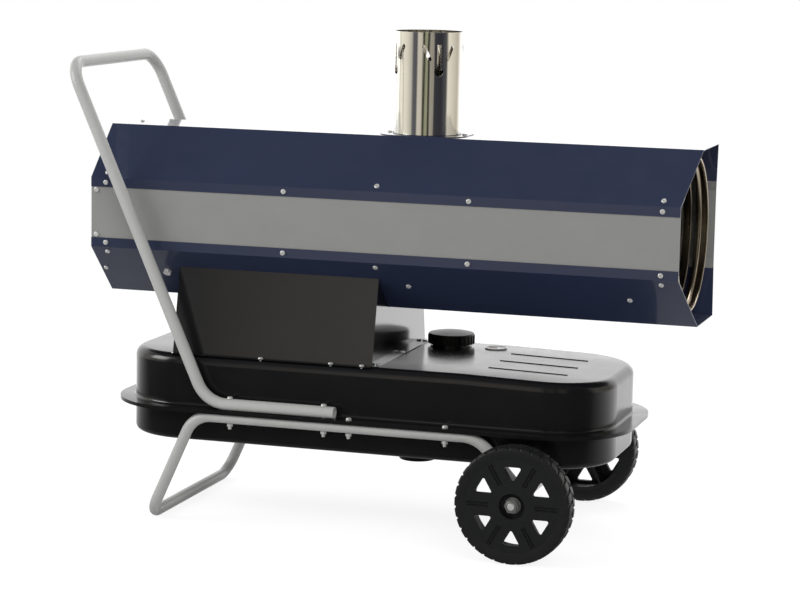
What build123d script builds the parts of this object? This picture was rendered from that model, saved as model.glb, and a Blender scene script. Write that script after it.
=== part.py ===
"""Indirect oil-fired air heater on a two-wheel trolley.

Frame: X runs along the heater, with +X at the warm-air outlet; -Y is the near side; +Z is up.
The floor is z = 0, and the origin lies on it under the middle of the whole heater. Millimetres.
"""

from build123d import *
import os
from math import atan2, cos, degrees, hypot, radians, sin, sqrt, tan

os.makedirs("parts", exist_ok=True)

# ---------------------------------------------------------------- driving dimensions
# Places along X are measured from the middle of the casing, which lies at MID_X.

# fits and gaps
TOUCH_GAP = 0.3        # between pieces of different bodies that pass each other
RUN_FIT = 0.05         # radial clearance of a running fit
SLIP_FIT = 0.2         # radial clearance of a fixed piece in its hole

# casing: an eight-sided tube
CASING_LENGTH = 1080.0
CASING_WIDTH = 326.0
CASING_HEIGHT = 302.0
CASING_FLAT = 139.0    # width of the flat top and of the flat bottom
WEB_HEIGHT = 124.0     # height of the upright side walls
CASING_SHEET = 1.2
LIP = 16.6             # height of the blue shell's lip over the grey panel
PANEL_LAP = 25.0       # how far the grey panel runs under the slanted faces
MOUTH_RECESS = 18.0    # how far the outlet end is cut back at the side walls

# casing screws
SCREW_RADIUS = 2.0
SCREW_HEAD_RADIUS = 4.5
SCREW_HEAD_HEIGHT = 2.6
SCREW_LENGTH = 7.0
STRIP_COUNT = 4        # screws along each lip
STRIP_REAR = 28.5      # first screw from the inlet end
STRIP_FRONT = 48.0     # last screw from the outlet end
FOLD_CLIMB = 12.0      # screws on the slanted faces, up from the fold
MID_CLIMB = 62.0       # screws half way up the slanted faces
END_SCREW_INSET = 10.0 # screws that hold the inlet guard
END_SCREW_HEIGHT = 40.0

# flue
FLUE_X = 32.6
FLUE_RADIUS = 60.0
FLUE_WALL = 1.0
FLUE_STAND = 181.0     # how far the flue stands above the casing
FLUE_OVERLAP = 22.0    # how far it reaches down over the stub
FLUE_TURN = -55.8      # direction of the first keyhole, in degrees from +X
KEYHOLE_COUNT = 4
KEYHOLE_DROP = 67.4    # keyhole centre below the flue's top edge
KEYHOLE_RADIUS = 8.5
KEYHOLE_SLOT_WIDTH = 7.2
KEYHOLE_SLOT_TOP = 21.4
SIDE_SLOT_WIDTH = 7.0
SIDE_SLOT_TOP = 25.0
SIDE_SLOT_BOTTOM = 46.5
SIDE_SLOT_TOP_TURN = 25.7
SIDE_SLOT_BOTTOM_TURN = 16.3
COLLAR_LENGTH = 156.0
COLLAR_WIDTH = 132.0
COLLAR_SHEET = 1.2
COLLAR_RISE = 2.0
COLLAR_NECK = 0.6      # how much narrower the flue's end inside the collar is
COLLAR_STOP = 1.0      # plain flue that stays clear above the collar

# outlet and heat exchanger
RING_RADIUS = 134.4    # outer radius of the outlet ring's wall
RING_WALL = 1.0
RING_BEAD = 2.0
RING_FRONT_INSET = 25.0
RING_DEPTH = 22.0
RING_RIB = 11.0
RING_RIB_RISE = 5.0
CHEEK_SHEET = 1.5
CHEEK_FLANGE = 14.0
SHIELD_RADIUS = 133.0
SHIELD_WALL = 1.0
SHIELD_GAP = 6.0       # from the outlet ring back to the shield's lip
SHIELD_BEAD = 3.0
SHIELD_INSET = 282.0   # shield's rear edge from the inlet end
DRUM_RADIUS = 100.0
DRUM_WALL = 1.2
DRUM_INSET = 10.0      # drum's front edge behind the shield's lip
DRUM_REAR_INSET = 23.0 # drum's rear edge ahead of the shield's
DRUM_FRONT_RECESS = 22.0
CHAMBER_RADIUS = 70.0
CHAMBER_SHARE = 0.75   # chamber's length, as a share of the drum's
STUB_DROP = 4.0        # stub's end below the casing's top
STRUT_SHEET = 2.0
STRUT_LENGTH = 20.0
SADDLE_REAR_X = 40.0
SADDLE_INSET = 55.0    # front saddle behind the shield's lip
SADDLE_SHEET = 2.0
SADDLE_FOOT = 18.0
SADDLE_SINE = 0.42     # how deep the saddle's arms hug the shield, as a share of its radius

# burner
BURNER_RADIUS = 40.0
BURNER_WALL = 1.2
BURNER_REACH = 32.0    # past the drum's rear plate into the chamber
BURNER_LENGTH = 100.0
BURNER_FLANGE_RADIUS = 58.0
BURNER_FLANGE = 3.0
OIL_PIPE_RADIUS = 5.0
NOZZLE_RADIUS = 9.0
NOZZLE_LENGTH = 22.0
NOZZLE_INSET = 8.0     # nozzle's end behind the burner tube's
SPIDER_SHEET = 2.0
ELECTRODE_RADIUS = 1.6
ELECTRODE_OFFSET = 16.0
ELECTRODE_REACH = 4.0

# inlet fan
FAN_RADIUS = 130.0
FAN_TIP_GAP = 5.0
FAN_DEPTH = 34.0
FAN_LEAD = 0.62        # share of the fan's depth ahead of the ring's plate
FAN_NOSE = 8.0         # rounding of the hub's and the motor's edges
FAN_HUB_RADIUS = 34.0
FAN_BLADES = 5
FAN_BLADE_SHEET = 2.0
FAN_BLADE_TURN = 60.0  # degrees between a blade and the shaft
FAN_BLADE_ROOT = 0.8   # where a blade starts, as a share of the hub's radius
FAN_RING_INSET = 40.0  # plate of the fan ring from the inlet end
FAN_RING_FLANGE = 18.0
GUARD_BAND = 14.0
GUARD_WIRE = 3.0
GUARD_RINGS = 6
GUARD_FIRST_RING = 22.0
GUARD_SPOKES = 8
SHAFT_RADIUS = 6.0
MOTOR_RADIUS = 52.0
MOTOR_LENGTH = 110.0
MOTOR_GAP = 12.0       # from the fan hub to the motor
MOTOR_SPIGOT_RADIUS = 20.0
MOTOR_BOLT_INSET = 129.0 # motor's bolts from the inlet end
SHAFT_TAIL = 2.0       # shaft behind the fan's hub
MOTOR_FOOT = 26.0
MOTOR_PLATE = 3.0
HEX_BOLT_RADIUS = 4.0
HEX_HEAD_RADIUS = 7.5
HEX_HEAD_HEIGHT = 5.3
PUMP_RADIUS = 32.0
PUMP_LENGTH = 38.0
PUMP_EDGE = 3.0

# fuel tank
TANK_REAR_X = -486.0
TANK_FRONT_X = 403.0
TANK_WIDTH = 348.0
TANK_CORNER = 115.0
TANK_SHEET = 1.5
TANK_RISE = 92.0       # seam to the flat top
TANK_DROP = 61.0       # seam to the bottom
TANK_TOP_EDGE = 16.0
TANK_BOTTOM_EDGE = 10.0
TANK_SLOPE_X = 150.0   # where the top begins to fall towards the front
TANK_SLOPE = 1.5       # degrees
FLANGE = 28.5          # width of the seam flange
HEM = 5.0              # depth of its turned edge
RIB_COUNT = 3
RIB_PITCH = 77.0
RIB_LENGTH = 142.0
RIB_WIDTH = 4.0
RIB_RISE = 1.2
RIB_REAR_X = 176.0
CAP_X = 52.0
CAP_INSET = 57.0       # cap and gauge, from the tank's far wall
CAP_RADIUS = 43.0
CAP_RIM = 18.5
CAP_SHOULDER = 3.0     # plain band above the ridges
CAP_DOME = 5.0
CAP_EDGE = 1.5
CAP_RIDGES = 30
CAP_RIDGE_RADIUS = 1.5
NECK_RADIUS = 34.0
NECK_WALL = 1.5
NECK_RISE = 16.0
NECK_SHOWING = 5.0     # neck that shows under the cap
NECK_FLANGE = 4.0
GAUGE_X = 137.0
GAUGE_RADIUS = 20.0
GAUGE_RISE = 2.0
GAUGE_STEM_RADIUS = 7.0
GAUGE_STEM_DROP = 26.0
GAUGE_FLOOR = 1.0
GAUGE_RIM = 2.5
GAUGE_SLOT = 6.0
GAUGE_PIN_LIFT = 5.0
POINTER_LENGTH = 13.0
POINTER_WIDTH = 1.6
POINTER_SHEET = 0.6
POINTER_EYE = 2.2
FLOAT_RADIUS = 15.0
FLOAT_LENGTH = 34.0
FLOAT_ARM = 105.0
FLOAT_BAR = 2.4
FLOAT_PIN_RADIUS = 1.0
DRAIN_X = 63.0
DRAIN_INSET = 54.0     # from the tank's near wall
DRAIN_RADIUS = 32.5
DRAIN_DROP = 10.0
DRAIN_EDGE = 3.0

# burner box on the tank
BOX_REAR_X = -383.0
BOX_FRONT_X = -11.0
BOX_SHOULDER = 14.0    # from the tank's wall in to the box's foot
BOX_LIFT = 93.4        # tank top to the casing's underside
BOX_LEAN = 11.4        # degrees that each side leans in
BOX_SHEET = 1.2
BOX_FLANGE = 12.0
BOX_FOOT = 10.0
FOOT_SCREW_REAR = (33.0, 168.0)   # foot screws ahead of the box's rear end
FOOT_SCREW_FRONT = (74.0, 17.0)   # foot screws behind its front end

# trolley
RAIL_Z = 195.5         # height of the rail's centre line
RAIL_STAND = 16.0      # from the tank's wall out to the rails and the handle's legs
RAIL_RADIUS = 10.0
RAIL_WALL = 1.5
RAIL_REAR_X = -330.0   # corner above the foot
RAIL_FRONT_X = 190.0   # corner ahead of the last bolt
FOOT_X = -412.0
FOOT_BEND = 35.0
REAR_BEND = 50.0
FRONT_BEND = 60.0
HANDLE_RADIUS = 10.5
HANDLE_WALL = 1.5
HANDLE_END_X = -68.0
HANDLE_CORNER_X = -307.5
HANDLE_TOP_X = -569.0
HANDLE_TOP_Z = 808.0
HANDLE_LOW_BEND = 60.0
HANDLE_TOP_BEND = 45.0
BOLT_RADIUS = 3.0
BOLT_HEAD_RADIUS = 5.0
BOLT_HEAD_HEIGHT = 4.0
BOLT_TAIL = 10.0       # below the rail
NUT_RADIUS = 5.5
NUT_HEIGHT = 5.0
HANDLE_BOLT_X = (-262.0, -88.0)
RAIL_BOLT_X = (-42.0, 132.0)

# wheels
WHEEL_X = 275.0
WHEEL_RADIUS = 101.0
WHEEL_WIDTH = 41.0
WHEEL_STAND = 86.0     # from the rail out to the outer face of each wheel
TYRE_DEPTH = 20.0
TYRE_SHOULDER = 6.0
HUB_RADIUS = 31.0
HUB_RECESS_RADIUS = 22.0
HUB_RECESS = 12.0
HUB_INSET = 1.0
WEB_SHEET = 8.0
RIB_SHEET = 3.0
WINDOW_COUNT = 6
WINDOW_TIP = 39.0
WINDOW_BASE = 67.0
WINDOW_WIDTH = 32.5
WINDOW_CORNER = 3.0
GROOVE_START = 40.0
GROOVE_END = 78.0
GROOVE_WIDTH = 3.2
GROOVE_PITCH = 4.8
GROOVE_DEPTH = 2.0
RIM_WALL = 8.0
AXLE_RADIUS = 6.0
SLEEVE_RADIUS = 12.0
SLEEVE_REACH = 18.0    # past the rail towards the middle
WASHER_RADIUS = 14.0
WASHER_SHEET = 2.0
AXLE_NUT_RADIUS = 13.0
AXLE_NUT_HEIGHT = 9.0
AXLE_TAIL = 5.0
AXLE_CHAMFER = 1.0
NUT_COLLAR_RADIUS = 9.5   # nylon ring at the nut's outer end
NUT_COLLAR_RISE = 3.0
NUT_COLLAR_EDGE = 1.0

# controls on the rear of the box
SWITCH_INSET = 65.0    # from the box's foot in to the switch
KNOB_Y = -40.0
LAMP_Y = 15.0
RESET_Y = 55.0
GLAND_INSET = 55.0     # from the box's foot in to the cord gland
CONTROL_LIFT = 58.0    # above the tank
SWITCH_WIDTH = 22.0
SWITCH_HEIGHT = 30.0
SWITCH_RIM = 3.0
SWITCH_DEPTH = 20.0
KNOB_RADIUS = 17.0
KNOB_DEPTH = 15.0
KNOB_SHAFT_RADIUS = 3.0
LAMP_RADIUS = 6.0
LAMP_PROUD = 4.0
BUTTON_RADIUS = 7.0
BUTTON_PROUD = 7.0
BUTTON_GUARD = 3.0
GLAND_RADIUS = 11.0
GLAND_REACH = 22.0
GLAND_BORE = 4.5
GLAND_HEX = 6.0        # thickness of its six-sided part
GLAND_NOSE = 2.0       # how much narrower its round nose is
GLAND_THREAD = 8.0     # radius of the thread through the plate
GLAND_TAIL = 10.0
GLAND_EDGE = 3.0
ROCKER_SLACK = 1.2     # from the rocker's ends to the frame
ROCKER_LOW = 1.8       # how far its ends and its middle stand out of the plate
ROCKER_HIGH = 5.0
ROCKER_MIDDLE = 1.2
ROCKER_SKIRT = 4.6
ROCKER_DEPTH = 8.0
ROCKER_FOOT = 3.0      # half width of its foot
ROCKER_PIN = 1.5
ROCKER_PIN_REACH = 1.0 # pin past the rocker's side into the frame
KNOB_GAP = 1.0
KNOB_CHAMFER = 1.5
KNOB_MARK = 1.6
KNOB_MARK_DEPTH = 1.0
KNOB_TAIL = 12.0
THERMOSTAT_WIDTH = 34.0
THERMOSTAT_DEPTH = 16.0
LAMP_RIM = 1.5
LAMP_DOME = 3.0
LAMP_TAIL = 12.0
RESET_TRAVEL = 3.0
RESET_WALL = 4.0
RESET_DEPTH = 12.0
RESET_FLOOR = 2.0
RESET_EDGE = 1.0

# inside the box
TRAY_SHEET = 1.5
TRAY_SIDE = 40.0       # from the box's foot in to the tray
TRAY_INSET = 30.0
TRAY_CORNER = 8.0
POST_HEIGHT = 8.0
POST_RADIUS = 5.0
POST_INSET = 15.0
TRANSFORMER_LENGTH = 90.0
TRANSFORMER_WIDTH = 70.0
TRANSFORMER_HEIGHT = 52.0
TRANSFORMER_CORNER = 5.0
TRANSFORMER_EDGE = 3.0
TRANSFORMER_X = 50.0   # from the middle of the tray
TRANSFORMER_Y = 60.0
TERMINAL_RADIUS = 5.0
TERMINAL_HEIGHT = 12.0
TERMINAL_LIFT = 20.0
TERMINAL_PITCH = 40.0
BOARD_LENGTH = 120.0
BOARD_WIDTH = 85.0
BOARD_SHEET = 1.6
BOARD_X = 40.0         # from the middle of the tray
BOARD_Y = -55.0
SPACER_RADIUS = 3.0
SPACER_HEIGHT = 6.0
SPACER_INSET = 8.0
RELAY_LENGTH = 28.0
RELAY_WIDTH = 22.0
RELAY_COUNT = 3
RELAY_PITCH = 36.0
RELAY_HEIGHT = 16.0

# fuel line
FILTER_INSET = 37.0    # ahead of the box's rear end
FILTER_Y = -38.0
FILTER_RADIUS = 16.0
FILTER_HEIGHT = 50.0
FILTER_EDGE = 3.0
PICKUP_RADIUS = 5.0
PICKUP_LIFT = 12.0     # end of the suction pipe above the tank's floor
HOSE_RADIUS = 4.0
HOSE_WALL = 1.5
HOSE_BEND = 24.0
HOSE_RISE = 22.0       # where the hose bends, above the casing's floor
HOSE_DROP = 28.0       # and below the pump
HOSE_HOLE = 22.0

# ---------------------------------------------------------------- worked out from them
RAIL_Y = TANK_WIDTH / 2 + RAIL_STAND
WHEEL_FACE_Y = RAIL_Y + WHEEL_STAND
CAP_Y = TANK_WIDTH / 2 - CAP_INSET
DRAIN_Y = DRAIN_INSET - TANK_WIDTH / 2
BOX_FOOT_Y = TANK_WIDTH / 2 - BOX_SHOULDER
SWITCH_Y = SWITCH_INSET - BOX_FOOT_Y
GLAND_Y = BOX_FOOT_Y - GLAND_INSET
TRAY_WIDTH = 2 * (BOX_FOOT_Y - TRAY_SIDE)
FILTER_X = BOX_REAR_X + FILTER_INSET

HANDLE_REACH = HANDLE_RADIUS - HANDLE_TOP_X
MID_X = (HANDLE_REACH - CASING_LENGTH / 2) / 2
SEAM_Z = RAIL_Z + RAIL_RADIUS + TANK_SHEET
TANK_TOP = SEAM_Z + TANK_RISE
AXIS_Z = TANK_TOP + BOX_LIFT + CASING_HEIGHT / 2
INLET_X = -CASING_LENGTH / 2
OUTLET_X = CASING_LENGTH / 2
MOTOR_BOLT_X = INLET_X + MOTOR_BOLT_INSET

RING_FRONT_X = OUTLET_X - RING_FRONT_INSET
RING_REAR_X = RING_FRONT_X - RING_DEPTH
SHIELD_FRONT_X = RING_REAR_X - SHIELD_GAP
SHIELD_REAR_X = INLET_X + SHIELD_INSET
SHIELD_LENGTH = SHIELD_FRONT_X - SHIELD_REAR_X
DRUM_FRONT_X = SHIELD_FRONT_X - DRUM_INSET
DRUM_REAR_X = SHIELD_REAR_X + DRUM_REAR_INSET
DRUM_LENGTH = DRUM_FRONT_X - DRUM_REAR_X
CHAMBER_LENGTH = CHAMBER_SHARE * DRUM_LENGTH
SADDLE_XS = (SADDLE_REAR_X, SHIELD_FRONT_X - SADDLE_INSET)

SLOPE_RUN = (CASING_WIDTH - CASING_FLAT) / 2
SLOPE_RISE = (CASING_HEIGHT - WEB_HEIGHT) / 2
SLOPE_LENGTH = hypot(SLOPE_RUN, SLOPE_RISE)
SLOPE_Y = SLOPE_RISE / SLOPE_LENGTH    # the slanted face's outward direction
SLOPE_Z = SLOPE_RUN / SLOPE_LENGTH
SLOPE_REACH = CASING_WIDTH / 2 * SLOPE_Y + WEB_HEIGHT / 2 * SLOPE_Z
LIP_EDGE = WEB_HEIGHT / 2 - LIP
LIP_MIDDLE = WEB_HEIGHT / 2 - LIP / 2
PANEL_EDGE_Y = CASING_WIDTH / 2 - PANEL_LAP * SLOPE_Z

NEAR, FAR = -1, 1


def along_x(x):
    """The YZ plane that stands across the casing's axis at x; its height 0 is the axis."""
    return Plane(origin=(MID_X + x, 0, AXIS_Z), x_dir=(0, 1, 0), z_dir=(1, 0, 0))


def floor_plane(z, x=0.0, y=0.0):
    """A level plane with its origin at x, y."""
    return Plane(origin=(MID_X + x, y, z), x_dir=(1, 0, 0), z_dir=(0, 0, 1))


def wheel_plane(y):
    """An upright plane across the axle at y; its own second direction is up."""
    return Plane(origin=(MID_X + WHEEL_X, y, WHEEL_RADIUS), x_dir=(1, 0, 0), z_dir=(0, -1, 0))


def octagon(inset, mode=Mode.ADD):
    """The casing's section, moved in by inset, into the sketch that is open."""
    side = CASING_WIDTH / 2 - inset
    top = CASING_HEIGHT / 2 - inset
    reach = SLOPE_REACH - inset
    fold_z = (reach - side * SLOPE_Y) / SLOPE_Z
    fold_y = (reach - top * SLOPE_Z) / SLOPE_Y
    corners = [(side, fold_z), (fold_y, top), (-fold_y, top), (-side, fold_z)]
    corners += [(y, -z) for y, z in reversed(corners)]
    Polygon(*corners, align=None, mode=mode)


def cut_mouth():
    """Cut the casing's outlet end back in a shallow V towards each side wall."""
    tip = MID_X + OUTLET_X
    with BuildSketch(Plane.XY.offset(AXIS_Z - CASING_HEIGHT)) as wedges:
        for side in (NEAR, FAR):
            Polygon(
                (tip, side * CASING_FLAT / 2),
                (tip - MOUTH_RECESS, side * CASING_WIDTH / 2),
                (tip - MOUTH_RECESS, side * CASING_WIDTH),
                (tip + MOUTH_RECESS, side * CASING_WIDTH),
                (tip + MOUTH_RECESS, side * CASING_FLAT / 2),
                align=None,
            )
    extrude(wedges.sketch, amount=2 * CASING_HEIGHT, mode=Mode.SUBTRACT)


def web_seat(x, side, height):
    """The place of a screw on a side wall."""
    origin = (MID_X + x, side * CASING_WIDTH / 2, AXIS_Z + height)
    return Plane(origin=origin, x_dir=(1, 0, 0), z_dir=(0, side, 0))


def slope_seat(x, side, up, climb):
    """The place of a screw on a slanted face, climb away from the fold with the side wall."""
    y = CASING_WIDTH / 2 - climb * SLOPE_Z
    z = WEB_HEIGHT / 2 + climb * SLOPE_Y
    origin = (MID_X + x, side * y, AXIS_Z + up * z)
    return Plane(origin=origin, x_dir=(1, 0, 0), z_dir=(0, side * SLOPE_Y, up * SLOPE_Z))


# ---------------------------------------------------------------- where the casing screws sit
STRIP_FIRST = INLET_X + STRIP_REAR
STRIP_LAST = OUTLET_X - STRIP_FRONT
STRIP_STEP = (STRIP_LAST - STRIP_FIRST) / (STRIP_COUNT - 1)
STRIP_XS = [STRIP_FIRST + i * STRIP_STEP for i in range(STRIP_COUNT)]
FOLD_XS = [STRIP_FIRST, (STRIP_FIRST + STRIP_LAST) / 2, STRIP_LAST]
END_X = INLET_X + END_SCREW_INSET


def strip_seats(side, up):
    return [web_seat(x, side, up * LIP_MIDDLE) for x in STRIP_XS]


def fold_seats(side, up):
    return [slope_seat(x, side, up, FOLD_CLIMB) for x in FOLD_XS]


def end_seats(side, up):
    return [slope_seat(END_X, side, up, MID_CLIMB)]


def panel_end_seats(side):
    return [web_seat(END_X, side, up * END_SCREW_HEIGHT) for up in (-1, 1)]


def saddle_seats(side):
    return [slope_seat(x, side, -1, MID_CLIMB) for x in SADDLE_XS]


def motor_seats():
    return [slope_seat(MOTOR_BOLT_X, side, -1, MID_CLIMB) for side in (NEAR, FAR)]


SCREW_HOLE = SCREW_RADIUS + SLIP_FIT
BOLT_HOLE = HEX_BOLT_RADIUS + SLIP_FIT
HOLE_DEPTH = SCREW_LENGTH + CASING_SHEET
SHELL_TOP = AXIS_Z + CASING_HEIGHT / 2
SHELL_BOTTOM = AXIS_Z - CASING_HEIGHT / 2


def half_shell(up):
    """One blue shell: three faces of the octagon and a lip over each side panel."""
    with BuildPart() as shell:
        with BuildSketch(along_x(INLET_X)):
            octagon(0)
            octagon(CASING_SHEET, mode=Mode.SUBTRACT)
            with Locations((0, up * (LIP_EDGE - CASING_HEIGHT))):
                Rectangle(2 * CASING_WIDTH, 2 * CASING_HEIGHT, mode=Mode.SUBTRACT)
        extrude(amount=CASING_LENGTH)
        cut_mouth()
        for side in (NEAR, FAR):
            with Locations(*strip_seats(side, up), *fold_seats(side, up), *end_seats(side, up)):
                Hole(SCREW_HOLE, HOLE_DEPTH)
    return shell.part


# ---------------------------------------------------------------- casing
COLLAR_SCREW_X = COLLAR_LENGTH / 2 - 2 * SCREW_HEAD_RADIUS
FLUE_HOLE = FLUE_RADIUS + 2 * TOUCH_GAP

with BuildPart() as upper_shell:
    add(half_shell(1))
    with Locations(floor_plane(SHELL_TOP, FLUE_X)):
        Hole(FLUE_HOLE, HOLE_DEPTH)
    with Locations(*[floor_plane(SHELL_TOP, FLUE_X + s * COLLAR_SCREW_X) for s in (-1, 1)]):
        Hole(SCREW_HOLE, HOLE_DEPTH)
    with Locations(floor_plane(SHELL_TOP, STRIP_FIRST)):
        Hole(SCREW_HOLE, HOLE_DEPTH)

with BuildPart() as lower_shell:
    add(half_shell(-1))
    with Locations(floor_plane(SHELL_BOTTOM, FILTER_X, FILTER_Y)):
        Hole(HOSE_HOLE, HOLE_DEPTH)
    with Locations(*saddle_seats(NEAR), *saddle_seats(FAR)):
        Hole(SCREW_HOLE, HOLE_DEPTH)
    with Locations(*motor_seats()):
        Hole(BOLT_HOLE, HOLE_DEPTH)


def side_panel(side):
    """A grey panel inside the shells' lips, with its edges lapped under the slanted faces."""
    with BuildPart() as panel:
        with BuildSketch(along_x(INLET_X)):
            octagon(CASING_SHEET)
            octagon(2 * CASING_SHEET, mode=Mode.SUBTRACT)
            with Locations((side * (PANEL_EDGE_Y - CASING_WIDTH), 0)):
                Rectangle(2 * CASING_WIDTH, 2 * CASING_HEIGHT, mode=Mode.SUBTRACT)
        extrude(amount=CASING_LENGTH)
        cut_mouth()
        for up in (-1, 1):
            with Locations(*strip_seats(side, up), *fold_seats(side, up)):
                Hole(SCREW_HOLE, HOLE_DEPTH)
        with Locations(*panel_end_seats(side)):
            Hole(SCREW_HOLE, HOLE_DEPTH)
    return panel.part


with BuildPart() as side_panel_near:
    add(side_panel(NEAR))

with BuildPart() as side_panel_far:
    add(side_panel(FAR))


# ---------------------------------------------------------------- screws
def pan_screw(head_radius, head_height, radius, length):
    """A pan-head screw with a cross recess, head up, seated at the origin."""
    with BuildPart() as turned:
        with BuildSketch(Plane.XY):
            Circle(head_radius)
        extrude(amount=head_height)
        fillet(turned.edges().group_by(Axis.Z)[-1], head_height * 0.6)
        with BuildSketch(Plane.XY):
            Circle(radius)
        extrude(amount=-length)
        with BuildSketch(Plane.XY.offset(head_height)):
            Rectangle(head_radius, head_radius / 5)
            Rectangle(head_radius / 5, head_radius)
        extrude(amount=-head_height * 0.4, mode=Mode.SUBTRACT)
    return turned.part


def hex_bolt(head_radius, head_height, radius, length):
    """A hexagon-head bolt, head up, seated at the origin."""
    with BuildPart() as made:
        with BuildSketch(Plane.XY):
            RegularPolygon(head_radius, 6)
        extrude(amount=head_height)
        with BuildSketch(Plane.XY):
            Circle(radius)
        extrude(amount=-length)
    return made.part


with BuildPart() as screw:
    add(pan_screw(SCREW_HEAD_RADIUS, SCREW_HEAD_HEIGHT, SCREW_RADIUS, SCREW_LENGTH))

with BuildPart() as bolt:
    add(hex_bolt(HEX_HEAD_RADIUS, HEX_HEAD_HEIGHT, HEX_BOLT_RADIUS, 3 * HEX_HEAD_HEIGHT))


def on_collar(seat_x):
    return floor_plane(SHELL_TOP + COLLAR_SHEET, FLUE_X + seat_x)


shell_seats = [floor_plane(SHELL_TOP, STRIP_FIRST)]
shell_seats += [on_collar(s * COLLAR_SCREW_X) for s in (-1, 1)]
for wall in (NEAR, FAR):
    shell_seats += saddle_seats(wall)
    for edge in (-1, 1):
        shell_seats += strip_seats(wall, edge) + fold_seats(wall, edge) + end_seats(wall, edge)

# the panel's end screws sit on the grey sheet, one sheet further in
for wall in (NEAR, FAR):
    shell_seats += [seat.offset(-CASING_SHEET) for seat in panel_end_seats(wall)]

with BuildPart() as motor_bolts:
    with Locations(*motor_seats()):
        add(bolt.part)


# ---------------------------------------------------------------- inlet: guard, fan, motor
INNER = 2 * CASING_SHEET      # inset of the face that lies against the grey panels
GUARD_LAST_RING = CASING_HEIGHT / 2 - INNER - GUARD_BAND
GUARD_RING_STEP = (GUARD_LAST_RING - GUARD_FIRST_RING) / (GUARD_RINGS - 1)
GUARD_LAP = CASING_SHEET / 3

with BuildPart() as inlet_guard:
    with BuildSketch(along_x(END_X - GUARD_BAND / 2)):
        octagon(INNER)
        octagon(INNER + CASING_SHEET, mode=Mode.SUBTRACT)
    extrude(amount=GUARD_BAND)
    with BuildSketch(along_x(END_X)):
        for i in range(GUARD_RINGS):
            ring = GUARD_FIRST_RING + i * GUARD_RING_STEP
            Circle(ring + GUARD_WIRE / 2)
            Circle(ring - GUARD_WIRE / 2, mode=Mode.SUBTRACT)
    extrude(amount=GUARD_WIRE)
    with BuildSketch(along_x(END_X + GUARD_LAP)):
        for i in range(GUARD_SPOKES // 2):
            Rectangle(2 * CASING_WIDTH, GUARD_WIRE, rotation=360.0 / GUARD_SPOKES * (i + 0.5))
        octagon(INNER + GUARD_LAP, mode=Mode.INTERSECT)
        Circle(GUARD_FIRST_RING, mode=Mode.SUBTRACT)
    extrude(amount=-GUARD_WIRE)
    for side in (NEAR, FAR):
        for up in (-1, 1):
            with Locations(*end_seats(side, up)):
                Hole(SCREW_HOLE, HOLE_DEPTH)
        with Locations(*panel_end_seats(side)):
            Hole(SCREW_HOLE, HOLE_DEPTH)

FAN_PLATE_X = INLET_X + FAN_RING_INSET
FAN_X = FAN_PLATE_X - CASING_SHEET / 2 + FAN_DEPTH * (FAN_LEAD - 0.5)

with BuildPart() as fan_ring:
    with BuildSketch(along_x(FAN_PLATE_X)):
        octagon(INNER)
        Circle(FAN_RADIUS + FAN_TIP_GAP, mode=Mode.SUBTRACT)
    extrude(amount=-CASING_SHEET)
    with BuildSketch(along_x(FAN_PLATE_X)):
        octagon(INNER)
        octagon(INNER + CASING_SHEET, mode=Mode.SUBTRACT)
    extrude(amount=-FAN_RING_FLANGE)
    for side in (NEAR, FAR):
        for up in (-1, 1):
            with Locations(*strip_seats(side, up), *fold_seats(side, up)):
                Hole(SCREW_HOLE, HOLE_DEPTH)
    with Locations(floor_plane(SHELL_TOP, STRIP_FIRST)):
        Hole(SCREW_HOLE, HOLE_DEPTH)

FAN_FRONT_X = FAN_X - FAN_DEPTH / 2
MOTOR_REAR_X = FAN_X + FAN_DEPTH / 2 + MOTOR_GAP
MOTOR_FRONT_X = MOTOR_REAR_X + MOTOR_LENGTH
PUMP_FRONT_X = MOTOR_FRONT_X + PUMP_LENGTH
BLADE_START = FAN_HUB_RADIUS * FAN_BLADE_ROOT
BLADE_LENGTH = FAN_RADIUS - BLADE_START
BLADE_CHORD = 0.62 * FAN_RADIUS

with BuildPart() as fan_blade:
    with BuildSketch(along_x(FAN_FRONT_X)):
        Circle(FAN_HUB_RADIUS)
    extrude(amount=FAN_DEPTH)
    fillet(fan_blade.edges().group_by(Axis.X)[0], FAN_NOSE)
    for i in range(FAN_BLADES):
        turn = 360.0 * i / FAN_BLADES
        blade_plane = Plane(
            origin=(MID_X + FAN_X, 0, AXIS_Z), x_dir=(1, 0, 0), z_dir=(0, 0, 1)
        ).rotated((turn, 0, 0)).offset(BLADE_START)
        with BuildSketch(blade_plane):
            Rectangle(FAN_BLADE_SHEET, BLADE_CHORD, rotation=FAN_BLADE_TURN)
        extrude(amount=BLADE_LENGTH)
    with BuildSketch(along_x(FAN_FRONT_X)):
        Circle(FAN_RADIUS)
    extrude(amount=FAN_DEPTH, mode=Mode.INTERSECT)
    with BuildSketch(along_x(FAN_FRONT_X)):
        Circle(SHAFT_RADIUS)
    extrude(amount=FAN_DEPTH, mode=Mode.SUBTRACT)

SHAFT_END_X = MOTOR_FRONT_X + PUMP_LENGTH / 2

with BuildPart() as motor_shaft:
    with BuildSketch(along_x(FAN_FRONT_X - SHAFT_TAIL)):
        Circle(SHAFT_RADIUS)
    extrude(amount=SHAFT_END_X - FAN_FRONT_X + SHAFT_TAIL)

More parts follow.
